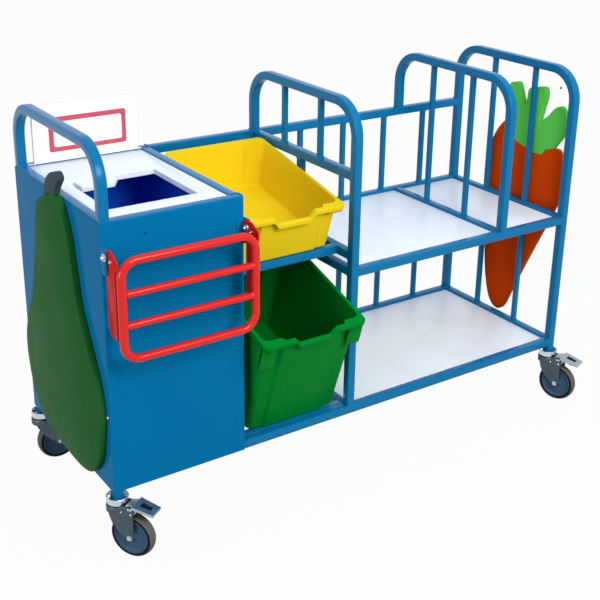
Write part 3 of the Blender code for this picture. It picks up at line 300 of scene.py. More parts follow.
def zinc_plate(name, colour, dull, smooth, rough):
    """Zinc-plated steel, with soft patches that change its colour and gloss."""
    finish, tree, shader, place = new_finish(name, Metallic=1.0)
    spangle = add_node(tree, "ShaderNodeTexNoise", {"Vector": place, "Scale": 1 / SPANGLE, "Detail": 3})
    tint = add_node(tree, "ShaderNodeMix", {
        0: spangle.outputs["Fac"], 6: linear(colour), 7: linear(dull),
    }, data_type="RGBA")
    tree.links.new(tint.outputs[2], shader.inputs["Base Color"])
    gloss = add_node(tree, "ShaderNodeMapRange", {
        "Value": spangle.outputs["Fac"], "From Min": 0.3, "From Max": 0.7, "To Min": smooth, "To Max": rough,
    })
    tree.links.new(gloss.outputs["Result"], shader.inputs["Roughness"])
    return finish


BRIGHT_ZINC = zinc_plate("bright_zinc_plate", "D4DAE0", "B8C0CC", 0.16, 0.32)
FORK_STEEL = zinc_plate("dark_zinc_plate", "525F68", "3C4A52", 0.34, 0.5)
PEDAL_STEEL = zinc_plate("grey_zinc_plate", "ACB9C2", "96A4AE", 0.34, 0.48)
print("zinc plates:", BRIGHT_ZINC.name, FORK_STEEL.name, PEDAL_STEEL.name)

# %% [markdown]
# The wheel's centre is grey nylon, and its tread is grey rubber that gathers floor dust, while
# the side of the tyre stays black. Dust is a bloom: it lightens the colour in small clouds and
# lies on the rubber as a slight relief.

# %% Nylon and rubber
DUST = 10 * MM
DUST_DEPTH = 0.2 * MM


def moulded_rubber(name, colour, dusty, rough):
    """Rubber or nylon with a bloom of floor dust."""
    finish, tree, shader, place = new_finish(name, Roughness=rough, Specular_IOR_Level=0.06)
    dust = add_node(tree, "ShaderNodeTexNoise", {"Vector": place, "Scale": 1 / DUST, "Detail": 5})
    tint = add_node(tree, "ShaderNodeMix", {
        0: dust.outputs["Fac"], 6: linear(colour), 7: linear(dusty),
    }, data_type="RGBA")
    tree.links.new(tint.outputs[2], shader.inputs["Base Color"])
    bump = add_node(tree, "ShaderNodeBump", {
        "Height": dust.outputs["Fac"], "Strength": 0.1, "Distance": DUST_DEPTH,
    })
    tree.links.new(bump.outputs["Normal"], shader.inputs["Normal"])
    return finish


GREY_NYLON = moulded_rubber("grey_moulded_nylon", "364E66", "40586E", 0.42)
TREAD_RUBBER = moulded_rubber("dusty_grey_tread_rubber", "57564E", "68665C", 0.75)
SIDE_RUBBER = moulded_rubber("black_sidewall_rubber", "101419", "1A1E24", 0.6)
print("wheels:", GREY_NYLON.name, TREAD_RUBBER.name, SIDE_RUBBER.name)

# %% [markdown]
# ## Finishes for the CAD nodes
#
# Each CAD node names a material slot, such as zinc or white board. A table gives every slot its
# finish. Most nodes are covered by a finer piece later on, and those that are not, such as the
# sign's plate and its border, already look right with their finish alone.

# %% Give every CAD node its finish
SLOT_FINISHES = {
    "blue_paint": BLUE_COAT, "red_paint": RED_COAT, "white_board": WHITE_BOARD,
    "red_print": RED_VINYL, "white_print": WHITE_BOARD, "pear_green_paint": PEAR_ENAMEL,
    "stem_paint": STEM_ENAMEL, "carrot_orange_paint": ROOT_ENAMEL, "leaf_green_paint": LEAF_ENAMEL,
    "blue_plastic": BLUE_BIN, "yellow_plastic": YELLOW_BIN, "green_plastic": GREEN_BIN,
    "zinc": BRIGHT_ZINC, "fork_steel": FORK_STEEL, "hub_plastic": GREY_NYLON, "tyre_rubber": TREAD_RUBBER,
}
for row in frame["record"]["subparts"]:
    materials = nodes[row["node"]].data.materials
    materials.clear()
    materials.append(SLOT_FINISHES[row["material_slot"]])

# %% [markdown]
# ## Turning a shape into a piece
#
# Every piece is drawn at its real place, measured from the left end, the front and the floor.
# When its shape is done, its normals are made to point out, it is moved to its place in the
# scene, and it is shaded smooth up to a sharp angle. It then rides on the body that carries it,
# and takes the place of the plain CAD nodes that it stands for.

# %% Finish a piece
SHARP = math.radians(32)
TOUCH = 0.01 * MM
EASE_STEPS = 3


def finish_piece(name, bm, body, *finishes, replaced=(), rounding=0.0):
    """Make a piece of a bmesh that is drawn from the left end, the front and the floor."""
    bmesh.ops.recalc_face_normals(bm, faces=bm.faces)
    bmesh.ops.translate(bm, verts=bm.verts, vec=at(0, 0, 0))
    mesh = bpy.data.meshes.new(name)
    bm.to_mesh(mesh)
    bm.free()
    for finish in finishes:
        mesh.materials.append(finish)
    mesh.shade_smooth()
    mesh.set_sharp_from_angle(angle=SHARP)
    piece = bpy.data.objects.new(name, mesh)
    bpy.context.scene.collection.objects.link(piece)
    if rounding:
        bevel = piece.modifiers.new("rounding", "BEVEL")
        bevel.width = rounding
        bevel.segments = EASE_STEPS
        bevel.limit_method = "ANGLE"
        bevel.angle_limit = SHARP
        bevel.harden_normals = True
    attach(piece, body)
    if replaced:
        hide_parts(*replaced)
    print(f"{name}: {len(mesh.polygons)} faces on {body}")


print("smooth up to", round(math.degrees(SHARP)), "degrees")

# %% [markdown]
# ## Corners and edges
#
# No edge of the real trolley is sharp: tube is drawn with round corners, board is eased and
# pressed steel is deburred. A small round edge also catches the light, and that light line is
# what makes a model look solid. One function rounds the edges that it is given, because the
# operator's own settings differ from the editor's. Three more pick corners and edges out of a
# shape, by what they touch or by the way they run.

# %% Helpers for corners and edges
ALONG, ACROSS, UP = range(3)
VERT, EDGE = bmesh.types.BMVert, bmesh.types.BMEdge
FINE_STEPS = 2


def ease_edges(bm, edges, width, steps=EASE_STEPS, clamp=False):
    """Round the edges of a shape."""
    bmesh.ops.bevel(
        bm, geom=list(edges), offset=width, segments=steps, profile=0.5, affect="EDGES", material=-1,
        clamp_overlap=clamp)


def only(kind, made):
    """The corners, or the edges, among what an operator made."""
    return [part for part in made if isinstance(part, kind)]


def edges_at(corners):
    """Every edge that meets some corners."""
    return {edge for corner in corners for edge in corner.link_edges}


def run_of(edge, axis):
    """How far an edge runs along an axis."""
    return abs(edge.verts[0].co[axis] - edge.verts[1].co[axis])


print("axes:", {"along": ALONG, "across": ACROSS, "up": UP})

# %% [markdown]
# ## Tube, and the welds between tubes
#
# The frame is square tube with a 25 mm side. Its corners are drawn to a small radius, and that
# radius is what makes the thin light line along every edge. A straight tube is a cube with its
# long edges bevelled. A weld shows under the paint as a soft bead round the tube's end. A low
# block with all its edges rounded gives that bead. Where two tubes lie flush the weld is ground
# flat, so the bead draws back there.

# %% Straight tubes and weld beads
BEAD = 2.4 * MM
BEAD_ROUND = 0.8 * BEAD
GROUND_BACK = 0.3 * MM


def add_block(bm, low, high, ease, axis=None):
    """A box with rounded edges: all twelve, or only the four along an axis."""
    low, high = Vector(low), Vector(high)
    place = Matrix.Translation((low + high) / 2) @ Matrix.Diagonal((*(high - low), 1))
    edges = edges_at(bmesh.ops.create_cube(bm, size=1, matrix=place)["verts"])
    if axis is not None:
        edges = {edge for edge in edges if run_of(edge, axis) > TOUCH}
    ease_edges(bm, edges, ease)


def add_tube(bm, low, high, corner, flush=None):
    """A straight tube with a weld bead at each end, which is ground back on a flush side."""
    low, high = Vector(low), Vector(high)
    size = high - low
    axis = max(range(3), key=lambda i: size[i])
    add_block(bm, low, high, corner, axis)
    grow = Vector((BEAD, BEAD, BEAD))
    if flush is not None:
        grow[flush] = -GROUND_BACK
    for end in (low, high):
        near, far = low.copy(), high.copy()
        near[axis] = far[axis] = end[axis]
        add_block(bm, near - grow, far + grow, BEAD_ROUND)


print("bead", round(BEAD / MM, 1), "mm")

# %% [markdown]
# ## The four hoops
#
# Each hoop is one tube bent over at the top on a 92 mm radius. It is drawn as a tube bender
# makes it: a square outline with round corners is run up, spun round the bend, run across and
# spun down again. Spinning keeps the section square all the way round, which a curve with a
# bevel can't promise.

# %% Bent tubes
TUBE = 25 * MM
TUBE_CORNER = 2.6 * MM
HOOP_BEND = 92.5 * MM
BEND_STEPS = 20
QUARTER = math.pi / 2


def start_square(bm, middle):
    """The outline that a square tube grows from, with round corners, looking up."""
    place = Matrix.Translation(middle)
    corners = bmesh.ops.create_grid(bm, x_segments=1, y_segments=1, size=TUBE / 2, matrix=place)["verts"]
    bmesh.ops.delete(bm, geom=list(bm.faces), context="FACES_ONLY")
    bmesh.ops.bevel(
        bm, geom=corners, offset=TUBE_CORNER, segments=EASE_STEPS, profile=0.5, affect="VERTICES",
        material=-1)
    return list(bm.edges)


def run_on(bm, rim, shift):
    """Carry an outline straight on."""
    made = bmesh.ops.extrude_edge_only(bm, edges=rim)["geom"]
    bmesh.ops.translate(bm, verts=only(VERT, made), vec=shift)
    return only(EDGE, made)


def turn(bm, rim, centre, axis, angle, steps=BEND_STEPS):
    """Carry an outline round a bend."""
    made = bmesh.ops.spin(
        bm, geom=rim, cent=centre, axis=axis, dvec=(0, 0, 0), angle=angle, steps=steps)["geom_last"]
    return only(EDGE, made)


print("bend", HOOP_BEND / MM, "mm in", BEND_STEPS, "steps")

# %% [markdown]
# The guard bars in the hoops are slim, 15 mm square, at a third and two thirds of the depth.
# The left hoop has none: it carries the cross rails of the cabinet. The shelf hoop's front leg
# stops on the shelf's rail, and its back leg on the table rail.

# %% Where the hoops stand
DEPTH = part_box("hoop_left")[1].y - CORNER.y
BAR = 15 * MM
BAR_CORNER = 1.6 * MM
FRAME_DECK = 212 * MM
SHELF_TOP = 644 * MM
TABLE_TOP = 924 * MM
GAP = 0.3 * MM
SIDEWAYS = Vector((1, 0, 0))
CROSS_BARS = DEPTH / 3, DEPTH * 2 / 3


def place_of(node, axis):
    """How far from the left end, the front or the floor a node starts."""
    return (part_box(node)[0] - at(0, 0, 0))[axis]


LEG_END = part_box("hoop_left")[0].z
HOOP_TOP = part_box("hoop_right")[1].z
MIDDLE_HOOP = place_of("hoop_middle", ALONG)
SHELF_HOOP = place_of("hoop_shelf", ALONG)
RIGHT_LEG = place_of("hoop_right", ALONG)
BACK_LEG = DEPTH - TUBE
print("hoops start at", [round(start / MM) for start in (0, MIDDLE_HOOP, SHELF_HOOP, RIGHT_LEG)], "mm")

# %% Bend a hoop and put in its bars
def bend_hoop(left, front_foot, back_foot, top):
    """One bent tube from its front foot over to its back foot."""
    bm = bmesh.new()
    middle, front, back = left + TUBE / 2, TUBE / 2, DEPTH - TUBE / 2
    spring = top - TUBE / 2 - HOOP_BEND
    rim = start_square(bm, Vector((middle, front, front_foot)))
    rim = run_on(bm, rim, (0, 0, spring - front_foot))
    rim = turn(bm, rim, (middle, front + HOOP_BEND, spring), SIDEWAYS, -QUARTER)
    rim = run_on(bm, rim, (0, back - front - 2 * HOOP_BEND, 0))
    rim = turn(bm, rim, (middle, back - HOOP_BEND, spring), SIDEWAYS, -QUARTER)
    run_on(bm, rim, (0, 0, back_foot - spring))
    bmesh.ops.holes_fill(bm, edges=bm.edges, sides=0)
    return bm


def add_hoop_bars(bm, left, low, high):
    """The two guard bars in a hoop's plane."""
    start = left + (TUBE - BAR) / 2
    for middle in CROSS_BARS:
        front = middle - BAR / 2
        add_tube(bm, (start, front, low), (start + BAR, front + BAR, high), BAR_CORNER)


def add_cross_rail(bm, left, top):
    """A rail across the trolley, between a front and a back upright."""
    add_tube(bm, (left, TUBE, top - TUBE), (left + TUBE, BACK_LEG, top), TUBE_CORNER, ALONG)


print("guard bars at", [round(middle / MM) for middle in CROSS_BARS], "mm from the front")

# %% Make the four hoops
FOOT = FRAME_DECK + GAP
CREST = HOOP_TOP - TUBE
hoop = bend_hoop(0, LEG_END, LEG_END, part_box("hoop_left")[1].z)
add_cross_rail(hoop, 0, TABLE_TOP)
add_cross_rail(hoop, 0, FRAME_DECK)
finish_piece("hoop_left_bent", hoop, "frame", BLUE_COAT, replaced=["hoop_left"])
hoop = bend_hoop(MIDDLE_HOOP, FOOT, FOOT, HOOP_TOP)
add_hoop_bars(hoop, MIDDLE_HOOP, TABLE_TOP, CREST)
finish_piece("hoop_middle_bent", hoop, "frame", BLUE_COAT, replaced=["hoop_middle"])
hoop = bend_hoop(SHELF_HOOP, SHELF_TOP + GAP, TABLE_TOP + GAP, HOOP_TOP)
add_hoop_bars(hoop, SHELF_HOOP, SHELF_TOP, CREST)
add_cross_rail(hoop, SHELF_HOOP, SHELF_TOP)
finish_piece("hoop_shelf_bent", hoop, "frame", BLUE_COAT, replaced=["hoop_shelf"])
hoop = bend_hoop(RIGHT_LEG, LEG_END, LEG_END, HOOP_TOP)
add_hoop_bars(hoop, RIGHT_LEG, SHELF_TOP, CREST)
finish_piece("hoop_right_bent", hoop, "frame", BLUE_COAT, replaced=["hoop_right"])

# %% [markdown]
# ## Rails and grilles
#
# Rails run along the front and the back, and cross rails tie the hoops. The back carries four
# slim bars above the shelf and four below it. All of them are straight tubes, so each is one
# call, and the loops follow the pitch of the bars.

# %% Long rails and back bars
PAST_MIDDLE = MIDDLE_HOOP + TUBE
FIRST_BAR = 158 * MM
BAR_PITCH = 168 * MM
BACK_BAR_COUNT = 4
BACK_BARS = [PAST_MIDDLE + FIRST_BAR + BAR_PITCH * i for i in range(BACK_BAR_COUNT)]


def add_long_rail(bm, left, right, front, top):
    """A rail along the trolley, between two uprights."""
    add_tube(bm, (left, front, top - TUBE), (right, front + TUBE, top), TUBE_CORNER, ACROSS)


def add_back_bars(bm, low, high):
    """The slim bars along the back."""
    front = BACK_LEG + (TUBE - BAR) / 2
    for middle in BACK_BARS:
        left = middle - BAR / 2
        add_tube(bm, (left, front, low), (left + BAR, front + BAR, high), BAR_CORNER)


print("back bars at", [round(middle / MM) for middle in BACK_BARS], "mm from the left end")

# %% Make the end frame, the grilles and the shelf rail
frame_end = bmesh.new()
add_cross_rail(frame_end, RIGHT_LEG, SHELF_TOP)
add_cross_rail(frame_end, RIGHT_LEG, FRAME_DECK)
add_hoop_bars(frame_end, RIGHT_LEG, FRAME_DECK, SHELF_TOP - TUBE)
finish_piece("end_rails", frame_end, "frame", BLUE_COAT, replaced=["right_end_frame"])
grille = bmesh.new()
add_long_rail(grille, PAST_MIDDLE, RIGHT_LEG, BACK_LEG, TABLE_TOP)
add_long_rail(grille, PAST_MIDDLE, RIGHT_LEG, BACK_LEG, SHELF_TOP)
add_back_bars(grille, SHELF_TOP, TABLE_TOP - TUBE)
finish_piece("grille_above", grille, "frame", BLUE_COAT, replaced=["back_grille_upper"])
grille = bmesh.new()
add_long_rail(grille, TUBE, RIGHT_LEG, BACK_LEG, FRAME_DECK)
add_back_bars(grille, FRAME_DECK, SHELF_TOP - TUBE)
finish_piece("grille_below", grille, "frame", BLUE_COAT, replaced=["back_grille_lower"])
rail = bmesh.new()
add_long_rail(rail, PAST_MIDDLE, RIGHT_LEG, 0, SHELF_TOP)
finish_piece("shelf_rail", rail, "frame", BLUE_COAT, replaced=["shelf_front_rail"])

# %% [markdown]
# The bottom front rail runs the whole length. The foot of the lower bin stands on a ledge of
# flat steel that is welded to the rail's inner side, between the cabinet and the middle hoop.

# %% Bottom front rail with its ledge
CABINET = 387 * MM
SHEET = 2 * MM
CABINET_FACE = CABINET + GAP + SHEET
RAIL_START = CABINET_FACE + GAP
LEDGE = 27 * MM
LEDGE_SHEET = 4 * MM
LEDGE_WELD = 1 * MM
LEDGE_EASE = 1 * MM
rail = bmesh.new()
add_long_rail(rail, TUBE, RIGHT_LEG, 0, FRAME_DECK)
add_block(
    rail, (RAIL_START, TUBE - LEDGE_WELD, FRAME_DECK - LEDGE_SHEET),
    (MIDDLE_HOOP, TUBE + LEDGE, FRAME_DECK), LEDGE_EASE)
finish_piece("bottom_rail", rail, "frame", BLUE_COAT, replaced=["bottom_front_rail"])

# %% [markdown]
# ## What the bins rest on
#
# Each tilted bin stands on a front rail and leans back on a higher one behind, so the slope of
# its floor gives the height of the back rail. Both rails end on the cabinet's side and on a
# slim strut in the middle hoop's plane.

# %% Bin frames
STRUT = 20 * MM
STRUT_FRONT = 268 * MM
STRUT_BACK = STRUT_FRONT + STRUT
BIN_RAIL_FRONT = 75 * MM
BIN_RAIL_TOP = 693 * MM
UPPER_TILT = math.radians(11.3)
LOWER_SEAT = 29 * MM
LOWER_TILT = math.radians(16.8)
STRUT_LEFT = MIDDLE_HOOP + (TUBE - STRUT) / 2


def add_strut(bm, low, high):
    """The slim upright between two cross rails."""
    add_tube(bm, (STRUT_LEFT, STRUT_FRONT, low), (STRUT_LEFT + STRUT, STRUT_BACK, high), BAR_CORNER)


def add_lean_rail(bm, top):
    """The slim rail that a bin leans back on."""
    low = RAIL_START + BEAD, STRUT_FRONT, top - STRUT
    add_tube(bm, low, (STRUT_LEFT, STRUT_BACK, top), BAR_CORNER, ACROSS)


bin_frame = bmesh.new()
add_cross_rail(bin_frame, MIDDLE_HOOP, TABLE_TOP)
add_cross_rail(bin_frame, MIDDLE_HOOP, BIN_RAIL_TOP)
add_strut(bin_frame, BIN_RAIL_TOP, TABLE_TOP - TUBE)
add_lean_rail(bin_frame, BIN_RAIL_TOP + (STRUT_FRONT - BIN_RAIL_FRONT) * math.tan(UPPER_TILT))
add_block(
    bin_frame, (RAIL_START, BIN_RAIL_FRONT, BIN_RAIL_TOP - TUBE),
    (MIDDLE_HOOP + BEAD, BIN_RAIL_FRONT + TUBE, BIN_RAIL_TOP), TUBE_CORNER, ALONG)
finish_piece("upper_bin_rails", bin_frame, "frame", BLUE_COAT, replaced=["upper_bin_frame"])
bin_frame = bmesh.new()
add_cross_rail(bin_frame, MIDDLE_HOOP, SHELF_TOP)
add_cross_rail(bin_frame, MIDDLE_HOOP, FRAME_DECK)
add_strut(bin_frame, FRAME_DECK, SHELF_TOP - TUBE)
add_lean_rail(bin_frame, FRAME_DECK + (STRUT_FRONT - LOWER_SEAT) * math.tan(LOWER_TILT))
finish_piece("lower_bin_rails", bin_frame, "frame", BLUE_COAT, replaced=["lower_bin_frame"])

# %% [markdown]
# ## The cabinet
#
# Under its sheet the cabinet is a small frame of the same tube: a rim at the height of the
# table, two posts at the right, and a low rail between them.

# %% Cabinet frame
POST = CABINET - TUBE
cabinet = bmesh.new()
add_long_rail(cabinet, TUBE, CABINET, 0, TABLE_TOP)
add_long_rail(cabinet, TUBE, CABINET, BACK_LEG, TABLE_TOP)
add_cross_rail(cabinet, POST, TABLE_TOP)
finish_piece("cabinet_rim", cabinet, "frame", BLUE_COAT, replaced=["cabinet_top_frame"])
for name, front in (("front", 0), ("back", BACK_LEG)):
    cabinet = bmesh.new()
    high = CABINET, front + TUBE, TABLE_TOP - TUBE
    add_tube(cabinet, (POST, front, FRAME_DECK), high, TUBE_CORNER, ACROSS)
    finish_piece(f"cabinet_{name}_upright", cabinet, "frame", BLUE_COAT, replaced=[f"cabinet_{name}_post"])
cabinet = bmesh.new()
add_cross_rail(cabinet, POST, FRAME_DECK)
finish_piece("cabinet_low_rail", cabinet, "frame", BLUE_COAT, replaced=["cabinet_cross_rail"])
rail = bmesh.new()
add_long_rail(rail, CABINET, MIDDLE_HOOP, BACK_LEG, TABLE_TOP)
finish_piece("back_rail", rail, "frame", BLUE_COAT, replaced=["middle_back_rail"])

# %% [markdown]
# The sheet is one blank of 2 mm steel, folded round both front corners. It starts as a single
# upright edge, which is run along the sides and spun round the corners as a press brake folds
# it. The normals are made even before a solidify gives it its thickness, because the thickness
# goes to the inner side only, and the cabinet's outside has to keep its place.

# %% Folded sheet
FOLD = 3.2 * MM
FOLD_STEPS = 6
SHEET_EASE = 0.5 * MM
FRAME_BOTTOM = FRAME_DECK - TUBE
SHEET_TOP = TABLE_TOP - 4 * MM
UPWARDS = Vector((0, 0, 1))
near, far = -GAP - SHEET, CABINET_FACE
sheet = bmesh.new()
ends = [sheet.verts.new((near, DEPTH, height)) for height in (FRAME_BOTTOM, SHEET_TOP)]
rim = run_on(sheet, [sheet.edges.new(ends)], (0, near + FOLD - DEPTH, 0))
rim = turn(sheet, rim, (near + FOLD, near + FOLD, 0), UPWARDS, QUARTER, FOLD_STEPS)
rim = run_on(sheet, rim, (far - near - 2 * FOLD, 0, 0))
rim = turn(sheet, rim, (far - FOLD, near + FOLD, 0), UPWARDS, QUARTER, FOLD_STEPS)
for corner in rim[0].verts:
    corner.co.z = max(corner.co.z, FOOT)
run_on(sheet, rim, (0, BACK_LEG - GAP - near - FOLD, 0))
bmesh.ops.remove_doubles(sheet, verts=sheet.verts, dist=TOUCH)
bmesh.ops.recalc_face_normals(sheet, faces=sheet.faces)
outward = max(sheet.faces, key=lambda face: face.calc_area()).normal
print("largest face looks", [round(v) for v in outward])
bmesh.ops.solidify(sheet, geom=sheet.faces, thickness=SHEET)
finish_piece("folded_sheet", sheet, "frame", SHEET_COAT, replaced=["cabinet_sheet"], rounding=SHEET_EASE)

# %% [markdown]
# ## Rounding what the CAD already has right
#
# Some parts are flat stock with plain cuts, and the CAD shape is already the real one. All that
# a camera misses is the small radius on the edges. A copy of the node's mesh is merged, because
# the node is loose triangles, its flat faces are joined up again, and its sharp edges are
# bevelled. The CAD node itself stays as it is.

# %% Rounded copies
FLAT = math.radians(1)
CREASE = math.radians(40)
BOARD_EASE = 1 * MM
SIGN_EASE = 1.2 * MM


def rounded_copy(node, ease):
    """A merged copy of a CAD node with its sharp edges rounded."""
    bm = bmesh.new()
    bm.from_mesh(nodes[node].data)
    bmesh.ops.remove_doubles(bm, verts=bm.verts, dist=TOUCH)
    bmesh.ops.dissolve_limit(bm, angle_limit=FLAT, verts=bm.verts, edges=bm.edges)
    sharp = [edge for edge in bm.edges if edge.is_manifold and edge.calc_face_angle() > CREASE]
    ease_edges(bm, sharp, ease, FINE_STEPS, clamp=True)
    bmesh.ops.dissolve_degenerate(bm, dist=TOUCH, edges=bm.edges)
    bmesh.ops.translate(bm, verts=bm.verts, vec=-at(0, 0, 0))
    return bm


BOARD_EASES = {
    "shelf_board_left": BOARD_EASE, "shelf_board_right": BOARD_EASE, "bottom_board": BOARD_EASE,
    "cabinet_floor_board": BOARD_EASE, "cabinet_top_board": BOARD_EASE, "sign_board": SIGN_EASE,
}
for node, ease in BOARD_EASES.items():
    finish_piece(f"{node}_eased", rounded_copy(node, ease), "frame", WHITE_BOARD, replaced=[node])

# %% [markdown]
# ## Pear and carrot
#
# The boards on the two ends are sawn from 18 mm board after a drawn outline, and their edges are
# routed round. The outline is a short list of points, given as shares of the board's width and
# height. A curve through them is refined three times, as a thin batten bends through its pins,
# and the board is that outline extruded, with both its rims bevelled.

# %% Outlines drawn with a batten
REFINEMENTS = 3


def bend_through(points, closed=False):
    """The points with one more between each pair, on a smooth curve through them."""
    count = len(points)
    curve = []
    for i in range(count if closed else count - 1):
        spots = [i - 1, i, i + 1, i + 2]
        spots = [s % count for s in spots] if closed else [min(max(s, 0), count - 1) for s in spots]
        before, this, after, beyond = (Vector(points[s]) for s in spots)
        curve += [this, (9 * (this + after) - before - beyond) / 16]
    return curve if closed else [*curve, Vector(points[-1])]


def batten(points, closed=False):
    """A fine curve through a few points."""
    for _ in range(REFINEMENTS):
        points = bend_through(points, closed)
    return points


def spread(shares, near, low, width, height):
    """An outline in real places, from shares of its width and height."""
    return [Vector((near + width * across, low + height * up)) for across, up in shares]


print("a batten through 4 points has", len(batten([(0, 0), (1, 0), (1, 1), (0, 1)], True)), "points")

# %% Sawn boards
END_BOARD = 18 * MM
ROUTED = 3.2 * MM
ROUTED_STEPS = 4


def add_plate(bm, outline, shift, ease, steps):
    """A flat plate: an outline of places, pushed out along one axis, with its rims eased."""
    shift = Vector(shift)
    axis = max(range(3), key=lambda i: abs(shift[i]))
    known = set(bm.verts)
    blank = bm.faces.new([bm.verts.new(spot) for spot in outline])
    made = bmesh.ops.extrude_face_region(bm, geom=[blank])["geom"]
    bmesh.ops.translate(bm, verts=only(VERT, made), vec=shift)
    edges = edges_at([corner for corner in bm.verts if corner not in known])
    ease_edges(bm, [edge for edge in edges if run_of(edge, axis) < TOUCH], ease, steps, clamp=True)


def saw_board(outline, face):
    """A board with routed edges, outward from a face of the trolley's end."""
    bm = bmesh.new()
    spots = [(face, across, up) for across, up in outline]
    add_plate(bm, spots, (math.copysign(END_BOARD, face), 0, 0), ROUTED, ROUTED_STEPS)
    return bm


print("end boards", round(END_BOARD / MM), "mm thick")

# %% Pear with its stem
PEAR_SHARES = (
    (0.425, 1.000), (0.490, 0.994), (0.556, 0.973), (0.658, 0.943), (0.708, 0.879), (0.746, 0.775),
    (0.780, 0.681), (0.814, 0.602), (0.866, 0.519), (0.936, 0.442), (0.988, 0.353), (1.000, 0.286),
    (0.985, 0.210), (0.946, 0.130), (0.904, 0.091), (0.826, 0.042), (0.758, 0.020), (0.673, 0.009),
    (0.500, 0.002), (0.299, 0.000), (0.170, 0.022), (0.100, 0.063), (0.045, 0.120), (0.006, 0.239),
    (0.000, 0.285), (0.012, 0.353), (0.044, 0.419), (0.134, 0.542), (0.210, 0.640), (0.243, 0.734),
    (0.268, 0.815), (0.302, 0.900), (0.350, 0.960), (0.392, 0.990),
)
STEM_SHARES = (
    (0.545, 1.012), (0.518, 1.042), (0.473, 1.066), (0.418, 1.082), (0.376, 1.084), (0.354, 1.066),
    (0.384, 1.042), (0.408, 1.022), (0.418, 1.010),
)
# Nearest and lowest place, width and height
PEAR_PLACE = 16 * MM, 186 * MM, 501 * MM, 745 * MM
PEAR_FACE = -GAP - SHEET - GAP
# The stem is seated on the pear's first points, a hair above them
SEAT_POINTS = 3
SEAM = Vector((0, 2 * GAP))

pear = batten(spread(PEAR_SHARES, *PEAR_PLACE), True)
seat = [point + SEAM for point in pear[:(SEAT_POINTS - 1) * 2 ** REFINEMENTS + 1]]
stem = batten([seat[-1], *spread(STEM_SHARES, *PEAR_PLACE), seat[0]]) + seat[1:-1]
finish_piece("pear_sawn", saw_board(pear, PEAR_FACE), "frame", PEAR_ENAMEL, replaced=["pear_board"])
finish_piece("stem_sawn", saw_board(stem, PEAR_FACE), "frame", STEM_ENAMEL, replaced=["pear_stem"])

# %% [markdown]
# The carrot is two boards, so that each could be sprayed in one colour. They meet along one
# seam, which both outlines share. Short metal spacers hold the carrot off the guard bars.

# %% Carrot root and leaves
SEAM_SHARES = (
    (0.143, 0.771), (0.241, 0.757), (0.289, 0.733), (0.393, 0.730), (0.479, 0.741), (0.563, 0.746),
    (0.637, 0.756), (0.810, 0.826),
)
ROOT_SHARES = (
    (0.875, 0.800), (0.958, 0.742), (0.995, 0.670), (1.000, 0.560), (0.982, 0.375), (0.940, 0.180),
    (0.870, 0.062), (0.801, 0.015), (0.726, 0.000), (0.660, 0.008), (0.601, 0.045), (0.500, 0.143),
    (0.298, 0.325), (0.065, 0.528), (0.003, 0.610), (0.009, 0.690), (0.060, 0.765),
)
LEAVES_SHARES = (
    (0.804, 0.913), (0.783, 0.978), (0.744, 0.990), (0.679, 0.995), (0.646, 0.982), (0.610, 0.947),
    (0.557, 0.907), (0.539, 0.934), (0.533, 0.966), (0.512, 0.984), (0.435, 0.994), (0.318, 1.000),
    (0.295, 0.966), (0.313, 0.933), (0.336, 0.890), (0.342, 0.866), (0.247, 0.895), (0.190, 0.923),
    (0.134, 0.940), (0.083, 0.941), (0.036, 0.917), (0.018, 0.859), (0.065, 0.815), (0.110, 0.791),
)
# Nearest and lowest place, width and height
CARROT_PLACE = 46 * MM, 213 * MM, 336 * MM, 818 * MM
LENGTH = RIGHT_LEG + TUBE
CARROT_FACE = LENGTH + GAP + SHEET + GAP


def close_on_seam(shares, seam):
    """An outline that starts and ends on the seam, and comes back along it."""
    return batten([seam[-1], *spread(shares, *CARROT_PLACE), seam[0]]) + seam[1:-1]


seam = spread(SEAM_SHARES, *CARROT_PLACE)
root = saw_board(close_on_seam(ROOT_SHARES, seam), CARROT_FACE)
finish_piece("root_sawn", root, "frame", ROOT_ENAMEL, replaced=["carrot_root"])
leaves = saw_board(close_on_seam(LEAVES_SHARES, [point + SEAM for point in seam]), CARROT_FACE)
finish_piece("leaves_sawn", leaves, "frame", LEAF_ENAMEL, replaced=["carrot_leaves"])

# %% Spacers behind the carrot
SPACER_SHARES = 0.67, 0.38, 0.957
SPACER_RADIUS = 7 * MM
ROD_STEPS = 24


def add_rod(bm, start, end, radius, tip=None, segments=ROD_STEPS):
    """A round rod between two places, or a cone where its tip has another radius."""
    start, end = Vector(start), Vector(end)
    run = end - start
    place = Matrix.Translation((start + end) / 2) @ run.to_track_quat("Z", "Y").to_matrix().to_4x4()
    return bmesh.ops.create_cone(
        bm, cap_ends=True, segments=segments, radius1=radius, radius2=radius if tip is None else tip,
        depth=run.length, matrix=place)["verts"]


spacers = bmesh.new()
for share in SPACER_SHARES:
    height = CARROT_PLACE[1] + CARROT_PLACE[3] * share
    start, end = LENGTH - (TUBE - BAR) / 2 + GAP, CARROT_FACE + END_BOARD / 2
    add_rod(spacers, (start, CROSS_BARS[0], height), (end, CROSS_BARS[0], height), SPACER_RADIUS)
finish_piece("carrot_spacers", spacers, "frame", BRIGHT_ZINC)

# %% [markdown]
# ## Small fasteners
#
# A zinc screw beside the pear holds the folded sheet, a dark plug closes a hole in the sheet's
# front, and a painted screw shows in the leaves. Each is a low cone, because a screw's head
# narrows towards its top, and its flat top catches the light.

# %% Screws that show
SCREW_HEAD = 2.4 * MM
SCREW_TOP_SHARE = 0.55
